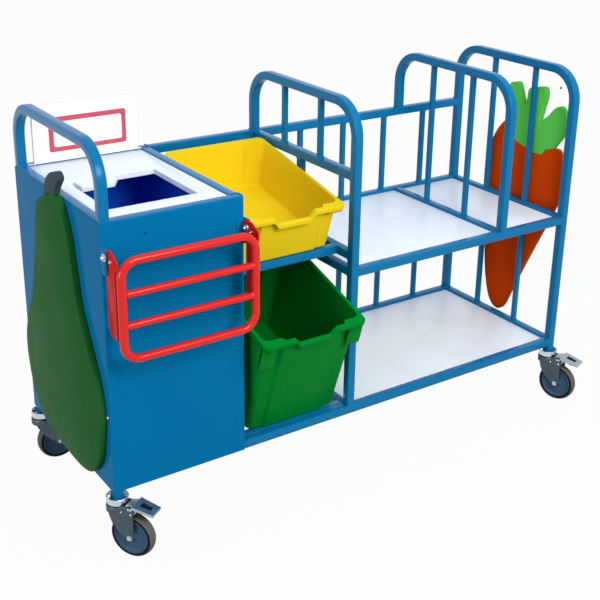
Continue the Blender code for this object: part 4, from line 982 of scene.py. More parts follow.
# Name, place, the way it looks out, radius and finish
SCREWS = (
    ("pear_screw", (-GAP - SHEET, TUBE / 2, 402 * MM), -SIDEWAYS, 4.5 * MM, BRIGHT_ZINC),
    ("sheet_plug", (114 * MM, -GAP - SHEET, 878 * MM), Vector((0, -1, 0)), 2.4 * MM, SIDE_RUBBER),
    ("leaf_screw", (CARROT_FACE, 86 * MM, 1044 * MM), -SIDEWAYS, 4 * MM, STEM_ENAMEL),
)
for name, place, out, radius, finish in SCREWS:
    screw = bmesh.new()
    add_rod(screw, place, Vector(place) + out * SCREW_HEAD, radius, radius * SCREW_TOP_SHARE)
    finish_piece(name, screw, "frame", finish)

# %% [markdown]
# Between the cabinet's top board and the sign lies a narrow white strip. It covers the cabinet's
# back rail, and it lies on whichever is higher, the rail or the board.

# %% White strip at the foot of the sign
STRIP_THICKNESS = 1.6 * MM
STRIP_OVERLAP = 6 * MM
STRIP_EASE = 0.6 * MM
strip_low = GAP + max(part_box("cabinet_top_board")[1].z, TABLE_TOP)
sign_face = place_of("sign_board", ACROSS)
strip = bmesh.new()
add_block(
    strip, (TUBE + GAP, BACK_LEG - STRIP_OVERLAP, strip_low),
    (POST, sign_face, strip_low + STRIP_THICKNESS), STRIP_EASE)
finish_piece("sign_strip", strip, "frame", WHITE_BOARD)
print("the strip lies", round(strip_low, 4), "m high, and the sign starts", round(sign_face, 4), "m back")

# %% [markdown]
# ## Moulded bins
#
# A moulded bin is one thin wall that goes up, out over a flat rim and down in a short skirt. The
# middle of its front stands proud as a panel, the corners stand back, and the rim dips in the
# middle so that a hand can tip the bin. Its base is drawn as one level outline, whose edges are
# extruded from level to level: up the outside, out over the rim, down its skirt and back, and
# down to the floor inside. Each level pulls the new corners to their places. Small arcs of
# levels round the base. An extruded wall keeps its outline's points, so the front has points
# just where the dip and the panels need them.

# %% Bin levels
BIN_CORNER = 20 * MM
PANEL = 95 * MM
PANEL_RAMP = 9 * MM
DIP_HALF = 46 * MM
DIP_RAMP = 24 * MM
CORNER_STEPS = 7
# The dip's ramp: shares of its run, and of its fall at each of them
RAMP_SHARES = 0, 0.2, 0.5, 0.8, 1
EASED_SHARES = 0, 0.06, 0.5, 0.94, 1


def level_spots(half, front, back, height, recess, dip):
    """One level outline of a bin: its corners stand back from the panels, and its front dips."""
    near, far = front + recess, back - recess
    stations = [(PANEL + PANEL_RAMP, near, 0), (PANEL, front, 0)]
    stations += [
        (DIP_HALF + DIP_RAMP * (1 - along), front, eased) for along, eased in zip(RAMP_SHARES, EASED_SHARES)
    ]
    spots = [(-x, y, height - dip * eased) for x, y, eased in stations]
    spots += [(x, y, height - dip * eased) for x, y, eased in reversed(stations)]
    inner = half - BIN_CORNER
    fore, aft = near + BIN_CORNER, far - BIN_CORNER
    centres = (inner, fore), (inner, aft), (-inner, aft), (-inner, fore)
    for quarter, (x, y) in enumerate(centres):
        for step in range(CORNER_STEPS + 1):
            angle = QUARTER * (quarter - 1 + step / CORNER_STEPS)
            spots.append((x + BIN_CORNER * math.cos(angle), y + BIN_CORNER * math.sin(angle), height))
        if quarter == 1:
            spots += [(PANEL + PANEL_RAMP, far, height), (PANEL, back, height)]
            spots += [(-PANEL, back, height), (-PANEL - PANEL_RAMP, far, height)]
    return spots


print("corner in", CORNER_STEPS, "steps")

# %% Raise a level
def raise_level(bm, corners, edges, spots):
    """Extrude an outline's edges, and set each new corner over the one that it grew from."""
    made = bmesh.ops.extrude_edge_only(bm, edges=edges)["geom"]
    fresh = set(only(VERT, made))
    grown = [
        next(edge.other_vert(corner) for edge in corner.link_edges if edge.other_vert(corner) in fresh)
        for corner in corners
    ]
    for corner, spot in zip(grown, spots):
        corner.co = spot
    return grown, only(EDGE, made)


print("a level has", len(level_spots(1, 0, 2, 0, 0, 0)), "points")

# %% Bin wall
BIN_WALL = 2.5 * MM
BIN_ROOT = 6 * MM
ROOT_STEPS = 4
# The share of the panels' step that is left at the base
BASE_STEP = 0.45


def mould_bin(width, length, depth, lips, skirt, tapers, step=0.0, dip=0.0):
    """A bin with its base's front at the origin. Lips and tapers are given sideways, then forward."""
    half, back = width / 2 - lips[0], length - 2 * lips[1]
    under, hem = depth - BIN_WALL, depth - skirt
    outer, inner = [], []
    for i in range(ROOT_STEPS + 1):
        angle = QUARTER * i / ROOT_STEPS
        rise, draw = BIN_ROOT * (1 - math.cos(angle)), BIN_ROOT * (1 - math.sin(angle))
        insets = [taper + draw for taper in tapers]
        outer.append((*insets, rise, step * BASE_STEP, 0))
        inner.append((*(BIN_WALL + inset for inset in insets), BIN_WALL + rise, step * BASE_STEP, 0))
    past = [BIN_WALL - lip for lip in lips]
    rim = [
        (0, 0, under, step, dip), (*past, under, 0, dip), (*past, hem, 0, dip),
        (-lips[0], -lips[1], hem, 0, dip), (-lips[0], -lips[1], depth, 0, dip),
        (BIN_WALL, BIN_WALL, depth, step, dip),
    ]
    levels = [
        level_spots(half - aside, inset, back - inset, height, recess, drop)
        for aside, inset, height, recess, drop in [*outer, *rim, *reversed(inner)]
    ]
    bm = bmesh.new()
    corners = [bm.verts.new(spot) for spot in levels[0]]
    base = edges = [bm.edges.new((corners[i - 1], corners[i])) for i in range(len(corners))]
    for spots in levels[1:]:
        corners, edges = raise_level(bm, corners, edges, spots)
    bmesh.ops.holes_fill(bm, edges=base + edges, sides=0)
    return bm


print("wall", BIN_WALL / MM, "mm")

# %% [markdown]
# The two tilted bins share one mould and differ in depth. On both sides of the front hangs an
# ear: a flat tab that faces forward, with a second one behind it that runs back along the side.
# The bin is turned about the foot of its front wall and set down on its front rail.

# %% Ears of a tilted bin
BIN_CLEARANCE = 10 * MM
BIN_WIDTH = MIDDLE_HOOP - CABINET_FACE - 2 * BIN_CLEARANCE
BIN_LIPS = 8 * MM, 13 * MM
EAR_TOP = 3 * MM
EAR_REACH = 7 * MM
EAR_WIDTH = 46 * MM
EAR_FRONT = 1 * MM
EAR_SHEET = 4 * MM
EAR_SIDE = 12 * MM, 34 * MM
EAR_EASE = 1 * MM


def add_ears(bm, depth, drop):
    """Two ears that hang from just under the rim."""
    far = BIN_WIDTH / 2 - BIN_LIPS[0] + EAR_REACH
    low, high = depth - drop, depth - EAR_TOP
    for hand in (-1, 1):
        left, right = sorted((hand * far, hand * (far - EAR_WIDTH)))
        add_block(bm, (left, EAR_FRONT, low), (right, EAR_FRONT + EAR_SHEET, high), EAR_EASE)
        left, right = sorted((hand * far, hand * (far - EAR_SHEET)))
        add_block(bm, (left, EAR_SIDE[0], low), (right, EAR_SIDE[1], high), EAR_EASE)


print("bins are", round(BIN_WIDTH / MM), "mm wide")

# %% Place the two tilted bins
BIN_MIDDLE = MIDDLE_HOOP - BIN_CLEARANCE - BIN_WIDTH / 2
BIN_LENGTH = 453 * MM
BIN_SKIRT = 12 * MM
BIN_TAPERS = 9 * MM, 14 * MM
PANEL_STEP = 13 * MM
BIN_DIP = 21 * MM
RIM_ROUND = 0.9 * MM
OVERHANG = 11 * MM
BIN_SHIFT = 3 * MM
# Name, depth, tilt, where its front stands, the rail under it, how far its ears hang, and finish
TILTED_BINS = (
    ("upper_bin", 144 * MM, UPPER_TILT, BIN_RAIL_FRONT, BIN_RAIL_TOP, 27 * MM, YELLOW_BIN),
    ("lower_bin", 335 * MM, LOWER_TILT, LOWER_SEAT, FRAME_DECK, 86 * MM, GREEN_BIN),
)
for name, depth, tilt, seat, rail, drop, finish in TILTED_BINS:
    moulded = mould_bin(BIN_WIDTH, BIN_LENGTH, depth, BIN_LIPS, BIN_SKIRT, BIN_TAPERS, PANEL_STEP, BIN_DIP)
    add_ears(moulded, depth, drop)
    bmesh.ops.translate(moulded, verts=moulded.verts, vec=(BIN_SHIFT, -OVERHANG, 0))
    spot = Matrix.Translation((BIN_MIDDLE, seat, rail + GAP / math.cos(tilt)))
    bmesh.ops.transform(moulded, matrix=spot @ Matrix.Rotation(tilt, 4, "X"), verts=moulded.verts)
    finish_piece(f"{name}_moulded", moulded, name, finish, replaced=[name], rounding=RIM_ROUND)

# %% [markdown]
# The waste bin is a plain one from the same kind of mould, with no panels and no dip, and it
# stands level on the cabinet's floor.

# %% Place the waste bin
WASTE_LIPS = 12 * MM, 12 * MM
WASTE_TAPERS = 12 * MM, 12 * MM
WASTE_LENGTH = 470 * MM
WASTE_DEPTH = 680 * MM
WASTE_SKIRT = 18 * MM
waste_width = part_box("waste_bin")[1].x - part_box("waste_bin")[0].x
waste_front = (DEPTH - WASTE_LENGTH) / 2 + WASTE_LIPS[1]
moulded = mould_bin(waste_width, WASTE_LENGTH, WASTE_DEPTH, WASTE_LIPS, WASTE_SKIRT, WASTE_TAPERS)
bmesh.ops.translate(moulded, verts=moulded.verts, vec=(CABINET / 2, waste_front, FRAME_DECK + GAP))
finish_piece("waste_bin_moulded", moulded, "waste_bin", BLUE_BIN, replaced=["waste_bin"], rounding=RIM_ROUND)

# %% [markdown]
# ## Fold-up rack
#
# The rack is one loop of 22 mm round tube with two slimmer bars across it. The loop is made as
# the hoops are, with a circle for its outline, and its last bend closes on its first point, so
# the doubles are merged there. Each bar ends in a short flare, which is the fillet of weld.

# %% Rack loop and bars
RACK_RADIUS = 11 * MM
RACK_BAR_RADIUS = 9.5 * MM
RACK_BEND = 42 * MM
RACK_BEND_STEPS = 10
RACK_OUT = 80 * MM
RACK_TOP = TABLE_TOP - 76 * MM
RACK_HEIGHT = 253 * MM
RACK_BARS = 82 * MM, 163 * MM
FLARE = 3 * MM
FLARE_LENGTH = 1.5 * FLARE
SUNK = 0.1 * MM
ROUND = 28
BACKWARDS = Vector((0, 1, 0))

rack = bmesh.new()
left, right = RACK_RADIUS, CABINET - RACK_RADIUS
low = RACK_TOP - RACK_HEIGHT
place = Matrix.Translation((left + RACK_BEND, -RACK_OUT, RACK_TOP)) @ Matrix.Rotation(QUARTER, 4, "Y")
circle = bmesh.ops.create_circle(rack, cap_ends=False, segments=ROUND, radius=RACK_RADIUS, matrix=place)
rim = list(edges_at(circle["verts"]))
across, down = right - left - 2 * RACK_BEND, RACK_HEIGHT - 2 * RACK_BEND
bends = (
    ((across, 0, 0), (right - RACK_BEND, -RACK_OUT, RACK_TOP - RACK_BEND)),
    ((0, 0, -down), (right - RACK_BEND, -RACK_OUT, low + RACK_BEND)),
    ((-across, 0, 0), (left + RACK_BEND, -RACK_OUT, low + RACK_BEND)),
    ((0, 0, down), (left + RACK_BEND, -RACK_OUT, RACK_TOP - RACK_BEND)),
)
for shift, centre in bends:
    rim = run_on(rack, rim, shift)
    rim = turn(rack, rim, centre, BACKWARDS, QUARTER, RACK_BEND_STEPS)
bmesh.ops.remove_doubles(rack, verts=rack.verts, dist=TOUCH)
for drop in RACK_BARS:
    height = RACK_TOP - drop
    add_rod(rack, (left, -RACK_OUT, height), (right, -RACK_OUT, height), RACK_BAR_RADIUS, segments=ROUND)
    for end, inward in ((left, 1), (right, -1)):
        start = end + inward * (RACK_RADIUS - FLARE / 2)
        add_rod(
            rack, (start, -RACK_OUT, height), (start + inward * FLARE_LENGTH, -RACK_OUT, height),
            RACK_BAR_RADIUS + FLARE / 2, RACK_BAR_RADIUS - SUNK, ROUND)
finish_piece("rack_bent", rack, "rack", RED_COAT, replaced=["rack_frame"])

# %% [markdown]
# Flat plates carry the rack on both sides. Each turns on a bolt through an angle bracket, and a
# second, smaller bolt in the plate is the stop. Black rubber buffers keep the plates off the
# cabinet. A bolt is a washer, a hexagon with eased edges and the round end of the thread, and
# all of it is sized from the hexagon.

# %% Bolts
WASHER = 1.2 * MM
HEX = 6
# Shares of the hexagon's radius
WASHER_SPREAD = 1.35, 1.3
HEX_DRAFT = 0.96
HEX_EASE = 0.08
THREAD_SPREAD = 0.5, 0.42
# A share of the head's height
THREAD_REACH = 0.5


def add_bolt(bm, face, out, radius, height):
    """A washer, a hexagon head and the bolt's round end, outward from a face."""
    root = face + out * WASHER
    top = root + out * height
    wide, narrow = (radius * share for share in WASHER_SPREAD)
    add_rod(bm, face, root, wide, narrow)
    head = add_rod(bm, root, top, radius, radius * HEX_DRAFT, HEX)
    ease_edges(bm, edges_at(head), radius * HEX_EASE, FINE_STEPS)
    wide, narrow = (radius * share for share in THREAD_SPREAD)
    add_rod(bm, top, top + out * height * THREAD_REACH, wide, narrow)


print("a bolt's hexagon has", HEX, "sides")

# %% Angle brackets
RUNNING = 1.3 * MM
BRACKET_TOP = TABLE_TOP - 56 * MM
BRACKET_HEIGHT = 68 * MM
BRACKET_WIDTH = 24 * MM
BRACKET_OUT = 34 * MM
BRACKET_SHEET = 3 * MM
BRACKET_FOOT = 1.3 * MM
BRACKET_ROUND = 7 * MM
BRACKET_EASE = 0.5 * MM
FOOT_EASE = 0.4 * MM


def fold_bracket(face, outward):
    """An angle bracket: a round-cornered flange outside the rack's plate, and a thin foot."""
    bm = bmesh.new()
    near, far = face + outward * RUNNING, face + outward * (RUNNING + BRACKET_SHEET)
    inner = far - outward * BRACKET_WIDTH
    back = -GAP - SHEET - GAP
    low, high = BRACKET_TOP - BRACKET_HEIGHT, BRACKET_TOP
    add_block(bm, (min(near, far), -BRACKET_OUT, low), (max(near, far), back, high), BRACKET_ROUND, ALONG)
    rims = [edge for edge in bm.edges if run_of(edge, ALONG) < TOUCH]
    ease_edges(bm, rims, BRACKET_EASE, FINE_STEPS)
    add_block(bm, (min(inner, far), back - BRACKET_FOOT, low), (max(inner, far), back, high), FOOT_EASE)
    return bm


print("brackets", round(BRACKET_HEIGHT / MM), "mm high")

# %% Pivot bolts, stop bolts and buffers
RACK_PLATE = 4 * MM
PIVOT_OUT = 24 * MM
PIVOT_HEIGHT = TABLE_TOP - 78 * MM
PIVOT_HEX = 7.5 * MM
PIVOT_HEAD = 4.5 * MM
PIVOT_NUT = 5 * MM
PIVOT_SHANK = 3.6 * MM
STOP_OUT = 51 * MM
STOP_HEIGHT = PIVOT_HEIGHT - 3 * MM
STOP_HEX = 3.2 * MM
STOP_HEAD = 2.4 * MM
STOP_NUT = 3.5 * MM
STOP_SHANK = 2.8 * MM
RUBBER_OUT = 21.5 * MM
RUBBER_HEIGHT = 806 * MM
RUBBER_RADIUS = 4 * MM
RUBBER_TIP_SHARE = 0.85


def join_bolt(outer, inner, radius, head, nut, shank):
    """A bolt that looks outward along the trolley, through to the nut on its inner end."""
    bm = bmesh.new()
    out = SIDEWAYS * math.copysign(1, outer.x - inner.x)
    add_bolt(bm, outer, out, radius, head)
    add_rod(bm, outer, inner, shank)
    add_bolt(bm, inner, -out, radius, nut)
    return bm


def draw_buffer(middle):
    """A rubber buffer on the cabinet's front, a little slimmer at its tip."""
    bm = bmesh.new()
    start, end = (middle, -SHEET, RUBBER_HEIGHT), (middle, -RUBBER_OUT, RUBBER_HEIGHT)
    add_rod(bm, start, end, RUBBER_RADIUS, RUBBER_RADIUS * RUBBER_TIP_SHARE)
    return bm


print("pivots", round(PIVOT_HEIGHT / MM), "mm above the floor")

# %% Both sides of the rack
PLATE_EASE = 0.7 * MM
for side, face, outward in (("left", 0, -1), ("right", CABINET, 1)):
    plate = rounded_copy(f"rack_plate_{side}", PLATE_EASE)
    finish_piece(f"plate_{side}_eased", plate, "rack", PLATE_COAT, replaced=[f"rack_plate_{side}"])
    bracket = fold_bracket(face, outward)
    finish_piece(f"bracket_{side}_folded", bracket, "frame", SHEET_COAT, replaced=[f"rack_bracket_{side}"])
    outer = Vector((face + outward * (RUNNING + BRACKET_SHEET + GAP), -PIVOT_OUT, PIVOT_HEIGHT))
    inner = Vector((face - outward * (RACK_PLATE + GAP), -PIVOT_OUT, PIVOT_HEIGHT))
    pivot = join_bolt(outer, inner, PIVOT_HEX, PIVOT_HEAD, PIVOT_NUT, PIVOT_SHANK)
    finish_piece(f"pivot_bolt_{side}", pivot, "frame", BRIGHT_ZINC, replaced=[f"rack_bolt_{side}"])
    outer = Vector((face + outward * GAP, -STOP_OUT, STOP_HEIGHT))
    inner = Vector((face - outward * (RACK_PLATE + GAP), -STOP_OUT, STOP_HEIGHT))
    stop = join_bolt(outer, inner, STOP_HEX, STOP_HEAD, STOP_NUT, STOP_SHANK)
    finish_piece(f"stop_bolt_{side}", stop, "rack", BRIGHT_ZINC)
    rubber = draw_buffer(face - outward * RACK_PLATE)
    finish_piece(f"buffer_{side}", rubber, "frame", SIDE_RUBBER)

# %% [markdown]
# ## Castors
#
# A castor is pressed and turned steel round a moulded wheel. The turned parts, which are the
# cup of the ball race, the fork's crown, the hub and the tyre, are each a half outline that is
# spun right round an axis. A castor is drawn with its swivel's axis at the origin and its wheel
# trailing along X, and its pieces are then turned to its own angle under its leg.

# %% Turned shapes
WHEEL_STEPS = 64
HEAD_STEPS = 48


def add_turned(bm, outline, centre, axis, steps=WHEEL_STEPS, ring=False):
    """Spin a half outline of radius and height pairs right round an axis."""
    axis, centre = Vector(axis), Vector(centre)
    out = axis.orthogonal().normalized()
    corners = [bm.verts.new(centre + out * radius + axis * height) for radius, height in outline]
    edges = [bm.edges.new(pair) for pair in zip(corners, corners[1:])]
    if ring:
        edges.append(bm.edges.new((corners[-1], corners[0])))
    known = set(bm.verts)
    bmesh.ops.spin(
        bm, geom=corners + edges, cent=centre, axis=axis, dvec=(0, 0, 0), angle=math.tau, steps=steps,
        use_merge=True)
    made = [corner for corner in bm.verts if corner not in known] + corners
    bmesh.ops.remove_doubles(bm, verts=made, dist=TOUCH)


def in_mm(outline):
    """An outline whose places are given in millimetres."""
    return [(across * MM, up * MM) for across, up in outline]


def both_sides(side):
    """A half outline of a wheel, from one side of it mirrored to the other."""
    side = in_mm(side)
    return side + [(radius, -height) for radius, height in reversed(side) if height]


print("wheel in", WHEEL_STEPS, "steps, head in", HEAD_STEPS)

# %% Head of a castor
ORIGIN = Vector((0, 0, 0))
CUP = (
    (0, 159.7), (15, 159.7), (16, 158.6), (16, 154), (17.5, 152.6), (22, 152.6), (24.8, 154.4),
    (26, 158), (26.6, 168.4), (27.4, 170), (28.6, 170.6), (29.6, 169.6), (29.8, 157.5), (28.6, 153),
    (25.5, 150.4), (0, 150.4),
)


def draw_head():
    """The cup of the ball race, with a raised rim round the foot of the leg."""
    bm = bmesh.new()
    add_turned(bm, in_mm(CUP), ORIGIN, UPWARDS, HEAD_STEPS)
    return bm


print("the head's outline has", len(CUP), "points")

# %% [markdown]
# The fork is pressed from one blank: a round crown under the ball race, a bridge, and a leg on
# each side of the wheel. A leg widens from the ear that holds the axle to the ear that holds the
# pedal's pin. The ears are arcs, and the rest of the outline is a few points.

# %% Fork of a castor
TRAIL = 44 * MM
WHEEL_RADIUS = 62.5 * MM
FORK_HALF = 22 * MM
FORK_SHEET = 4 * MM
FORK_EASE = 0.9 * MM
AXLE = Vector((TRAIL, 0, WHEEL_RADIUS))
AXLE_EAR = 13 * MM
FORK_EAR = 47 * MM, 143 * MM
FORK_EAR_RADIUS = 12.5 * MM
ARC_STEPS = 10
CROWN = (
    (0, 149.6), (25, 149.6), (28.6, 148.8), (30.4, 146.6), (31, 143), (31, 131), (28.5, 131),
    (28.5, 143), (26.5, 145.4), (0, 145.4),
)
LEG_BACK = (-12, 148.6), (-17, 146.5), (-19, 138), (-14.5, 118), (-8.5, 101.5), (-4, 93), (14, 75)
BRIDGE_LOW = -17 * MM, -FORK_HALF, 144 * MM
BRIDGE_HIGH = 47 * MM, FORK_HALF, 149.2 * MM
BRIDGE_EASE = 2.4 * MM


def arc(centre, radius, start, end):
    """Points along an arc of an outline, with angles in quarter turns."""
    angles = [QUARTER * (start + (end - start) * step / ARC_STEPS) for step in range(ARC_STEPS + 1)]
    return [(centre[0] + radius * math.cos(a), centre[1] + radius * math.sin(a)) for a in angles]


def press_plate(bm, outline, start, thickness, ease):
    """A flat plate that stands along the wheel, with eased rims."""
    add_plate(bm, [(x, start, z) for x, z in outline], (0, thickness, 0), ease, FINE_STEPS)


def draw_fork():
    """The pressed fork: a crown on a bridge, and two legs."""
    bm = bmesh.new()
    add_turned(bm, in_mm(CROWN), ORIGIN, UPWARDS, HEAD_STEPS)
    leg = arc((AXLE.x, AXLE.z), AXLE_EAR, -2, 0) + arc(FORK_EAR, FORK_EAR_RADIUS, -1 / 3, 1) + in_mm(LEG_BACK)
    for start in (-FORK_HALF, FORK_HALF - FORK_SHEET):
        press_plate(bm, leg, start, FORK_SHEET, FORK_EASE)
    add_block(bm, BRIDGE_LOW, BRIDGE_HIGH, BRIDGE_EASE, ALONG)
    return bm


print("axle at", [round(v / MM, 1) for v in AXLE], "mm")

# %% Axle and rivets
AXLE_RADIUS = 5 * MM
AXLE_HEX = 5.4 * MM
AXLE_HEAD = 3.6 * MM
RIVETS = (21, 136), (44, 149), (51, 149)
RIVET_HEAD = 1.6 * MM
RIVET_RADII = 2.9 * MM, 1.7 * MM


def draw_axle():
    """The bolt through the wheel, with a washer and a hexagon on each side."""
    bm = bmesh.new()
    reach = BACKWARDS * FORK_HALF
    add_rod(bm, AXLE - reach, AXLE + reach, AXLE_RADIUS)
    for side in (-1, 1):
        add_bolt(bm, AXLE + reach * side, BACKWARDS * side, AXLE_HEX, AXLE_HEAD)
    return bm


def draw_rivets():
    """The rivets in both legs of the fork."""
    bm = bmesh.new()
    for across, up in in_mm(RIVETS):
        for side in (-1, 1):
            face = Vector((across, side * FORK_HALF, up))
            add_rod(bm, face, face + BACKWARDS * side * RIVET_HEAD, *RIVET_RADII)
    return bm


print(len(RIVETS), "rivets in each leg")

# %% [markdown]
# The wheel is a nylon disc with a raised ring near its edge, a dished middle and a boss round
# the axle. The soft tyre lies round it, with a rounded tread. Both outlines are drawn for one
# side only and mirrored, so the wheel can't come out lopsided.

# %% Hub and tyre
HUB_SIDE = (
    (50, 13), (49.5, 14.2), (48.5, 15), (46, 15), (44.8, 14.4), (43.5, 12), (41.5, 10.8), (38, 10.4),
    (22, 10.4), (18, 11), (16, 12.6), (14.5, 16.2), (13.6, 17.2), (12.5, 17.5), (5.4, 17.5),
)
TREAD_SIDE = (
    (50.3, 14.6), (51.2, 14.9), (55.6, 14.9), (57.6, 14.2), (59.6, 12), (61.2, 8.6), (62.2, 4.6),
    (62.5, 0),
)
TYRE_WALL = 14 * MM


def draw_hub():
    """The moulded wheel: a raised rim ring, a dished disc and a boss."""
    bm = bmesh.new()
    add_turned(bm, both_sides(HUB_SIDE), AXLE, BACKWARDS, ring=True)
    return bm


def draw_tyre():
    """The soft tyre. Its tread is dusty and its walls are black."""
    bm = bmesh.new()
    add_turned(bm, both_sides(TREAD_SIDE), AXLE, BACKWARDS, ring=True)
    for face in bm.faces:
        face.material_index = int(abs(face.calc_center_median().y) > TYRE_WALL)
    return bm


print("wheel", round(2 * WHEEL_RADIUS / MM), "mm across")

# %% [markdown]
# The brake pedal is pressed from one sheet: a foot plate with a window, with its sides and its
# tip turned down, on two cheeks that hang on the pin. A single face is inset for the window, its
# rim is run down for the flanges, and a solidify gives the sheet its thickness. A new face has
# no normal until it is updated, and the inset needs one. Under the window lies the shoe that the
# pedal presses on the tyre. It is black: partly its own colour, and partly painted shade, so that
# the window looks as dark as the shade under the pedal.

# %% Brake pedal
PEDAL_ROOT = Vector((56 * MM, 0, 163 * MM))
PEDAL_TIP = Vector((117 * MM, 0, 151 * MM))
PEDAL_HALF = 25.8 * MM
TIP_HALF = 21 * MM
PEDAL_SHEET = 2.6 * MM
PEDAL_FLANGE = 8 * MM
PEDAL_EASE = 0.6 * MM
WINDOW_BORDER = 15 * MM
PEDAL_PIVOT = 50 * MM, 135 * MM
PEDAL_EAR = 7 * MM
CHEEK_FACE = 17.4 * MM
CHEEK_TOP = (74, 157), (57.5, 161)
ARM_OUTLINE = (31.5, 152), (33, 156), (57, 163.4), (58, 160.6), (35, 152.6)
PEDAL_RUN = PEDAL_TIP - PEDAL_ROOT
PEDAL_SLOPE = math.atan2(-PEDAL_RUN.z, PEDAL_RUN.x)


def draw_pedal():
    """A pressed foot plate with a window, on two cheeks, and the arm that joins it to them."""
    bm = bmesh.new()
    reach = PEDAL_RUN.length
    spots = (0, -PEDAL_HALF), (reach, -TIP_HALF), (reach, TIP_HALF), (0, PEDAL_HALF)
    plate = bm.faces.new([bm.verts.new((*spot, 0)) for spot in spots])
    plate.normal_update()
    bmesh.ops.inset_region(
        bm, faces=[plate], thickness=WINDOW_BORDER, use_boundary=True, use_even_offset=True)
    rim = [edge for edge in bm.edges if edge.is_boundary and max(v.co.x for v in edge.verts) > TOUCH]
    bmesh.ops.delete(bm, geom=[plate], context="FACES_ONLY")
    run_on(bm, rim, (0, 0, -PEDAL_FLANGE))
    bmesh.ops.recalc_face_normals(bm, faces=bm.faces)
    bmesh.ops.solidify(bm, geom=bm.faces, thickness=PEDAL_SHEET)
    lay = Matrix.Translation(PEDAL_ROOT) @ Matrix.Rotation(PEDAL_SLOPE, 4, "Y")
    bmesh.ops.transform(bm, matrix=lay, verts=bm.verts)
    cheek = arc(PEDAL_PIVOT, PEDAL_EAR, 5 / 3, 11 / 3) + in_mm(CHEEK_TOP)
    for start in (-CHEEK_FACE, CHEEK_FACE - PEDAL_SHEET):
        press_plate(bm, cheek, start, PEDAL_SHEET, PEDAL_EASE)
    press_plate(bm, in_mm(ARM_OUTLINE), -CHEEK_FACE, 2 * CHEEK_FACE, PEDAL_EASE)
    return bm


print("pedal slopes", round(math.degrees(PEDAL_SLOPE), 1), "degrees")

# %% Shoe and pin
SHOE_HALF = 13 * MM
SHOE_EASE = 0.8 * MM
SHOE_OUTLINE = (
    (57, 158.2), (62, 147), (94, 139), (96, 142), (73, 151), (103, 146.3), (104, 149), (60, 158),
)
PIN_RADIUS = 3 * MM
PIN_TIP = 2.2 * MM
PIN_HEAD_SHARE = 1.05


def draw_shoe():
    """The block that the pedal presses on the tyre, with the plate that it hangs from. Its black is partly
    painted shade.
    """
    bm = bmesh.new()
    press_plate(bm, in_mm(SHOE_OUTLINE), -SHOE_HALF, 2 * SHOE_HALF, SHOE_EASE)
    return bm


def draw_pin():
    """The pin that the pedal turns on, with a round head on each side."""
    bm = bmesh.new()
    pivot = Vector((PEDAL_PIVOT[0], 0, PEDAL_PIVOT[1]))
    reach = BACKWARDS * FORK_HALF
    add_rod(bm, pivot - reach, pivot + reach, PIN_RADIUS)
    for side in (-1, 1):
        add_rod(bm, pivot + reach * side, pivot + reach * side * PIN_HEAD_SHARE, PIN_RADIUS, PIN_TIP)
    return bm


print("shoe", round(2 * SHOE_HALF / MM), "mm wide")

# %% [markdown]
# Four castors stand under the four legs, each turned to its own angle, as they come to rest when
# the trolley is pushed and left. A table says what is drawn, which body carries it and with what
# finish. The head stays with the frame, the fork swivels, and the wheel and the pedal ride on
# the fork. The first five pieces stand for CAD nodes, and the others are small ones that the CAD
# leaves out.

# %% Place the four castors
CASTOR_ANGLES = {"front_left": -57, "front_right": -71, "back_left": 0, "back_right": -50}
CASTOR_PIECES = (
    ("head", draw_head, "", [BRIGHT_ZINC]),
    ("fork", draw_fork, "swivel", [FORK_STEEL]),
    ("hub", draw_hub, "wheel", [GREY_NYLON]),
    ("tyre", draw_tyre, "wheel", [TREAD_RUBBER, SIDE_RUBBER]),
    ("pedal", draw_pedal, "brake", [PEDAL_STEEL]),
    ("pin", draw_pin, "brake", [BRIGHT_ZINC]),
    # The shoe's black is partly its own colour and partly painted shade under the pedal's window.
    ("shoe", draw_shoe, "brake", [SIDE_RUBBER]),
    ("axle", draw_axle, "swivel", [BRIGHT_ZINC]),
    ("rivets", draw_rivets, "swivel", [BRIGHT_ZINC]),
)
for name, angle in CASTOR_ANGLES.items():
    across = TUBE / 2 if name.startswith("front") else DEPTH - TUBE / 2
    along = TUBE / 2 if name.endswith("left") else LENGTH - TUBE / 2
    under = Matrix.Translation((along, across, 0)) @ Matrix.Rotation(math.radians(angle), 4, "Z")
    for kind, draw, carrier, finishes in CASTOR_PIECES:
        drawn = draw()
        bmesh.ops.transform(drawn, matrix=under, verts=drawn.verts)
        body = f"{name}_{carrier}" if carrier else "frame"
        node = f"castor_{name}_{kind}"
        if node in nodes:
            finish_piece(f"{name}_{kind}_made", drawn, body, *finishes, replaced=[node])
        else:
            finish_piece(f"{name}_{kind}", drawn, body, *finishes)

# %% [markdown]
# ## Floor, light and camera
#
# The trolley stands in soft daylight on white. A pale floor and a pale sky for a world light it
# from all round, and the sky is a little bluer overhead, which shows on every upward face. The
# camera, and whatever mirrors the room, sees a plain white floor and a plain white sky instead.
# The floor keeps a little of its own shade, so the trolley's shadow still shows on it.

# %% Floor
FLOOR_WIDTH = 60
FLOOR_VEIL = 0.9
FLOOR_GLOW = 1.06
WHITE = linear("FFFFFF")


def add_plain_view(tree):
    """One for a ray from the camera, a mirror or glass, and nought for one that carries light."""
    seen = add_node(tree, "ShaderNodeLightPath")
    rays = seen.outputs["Is Camera Ray"]
    for other in ("Is Glossy Ray", "Is Transmission Ray"):
        rays = add_node(
            tree, "ShaderNodeMath", {0: rays, 1: seen.outputs[other]}, operation="MAXIMUM").outputs[0]
    return rays


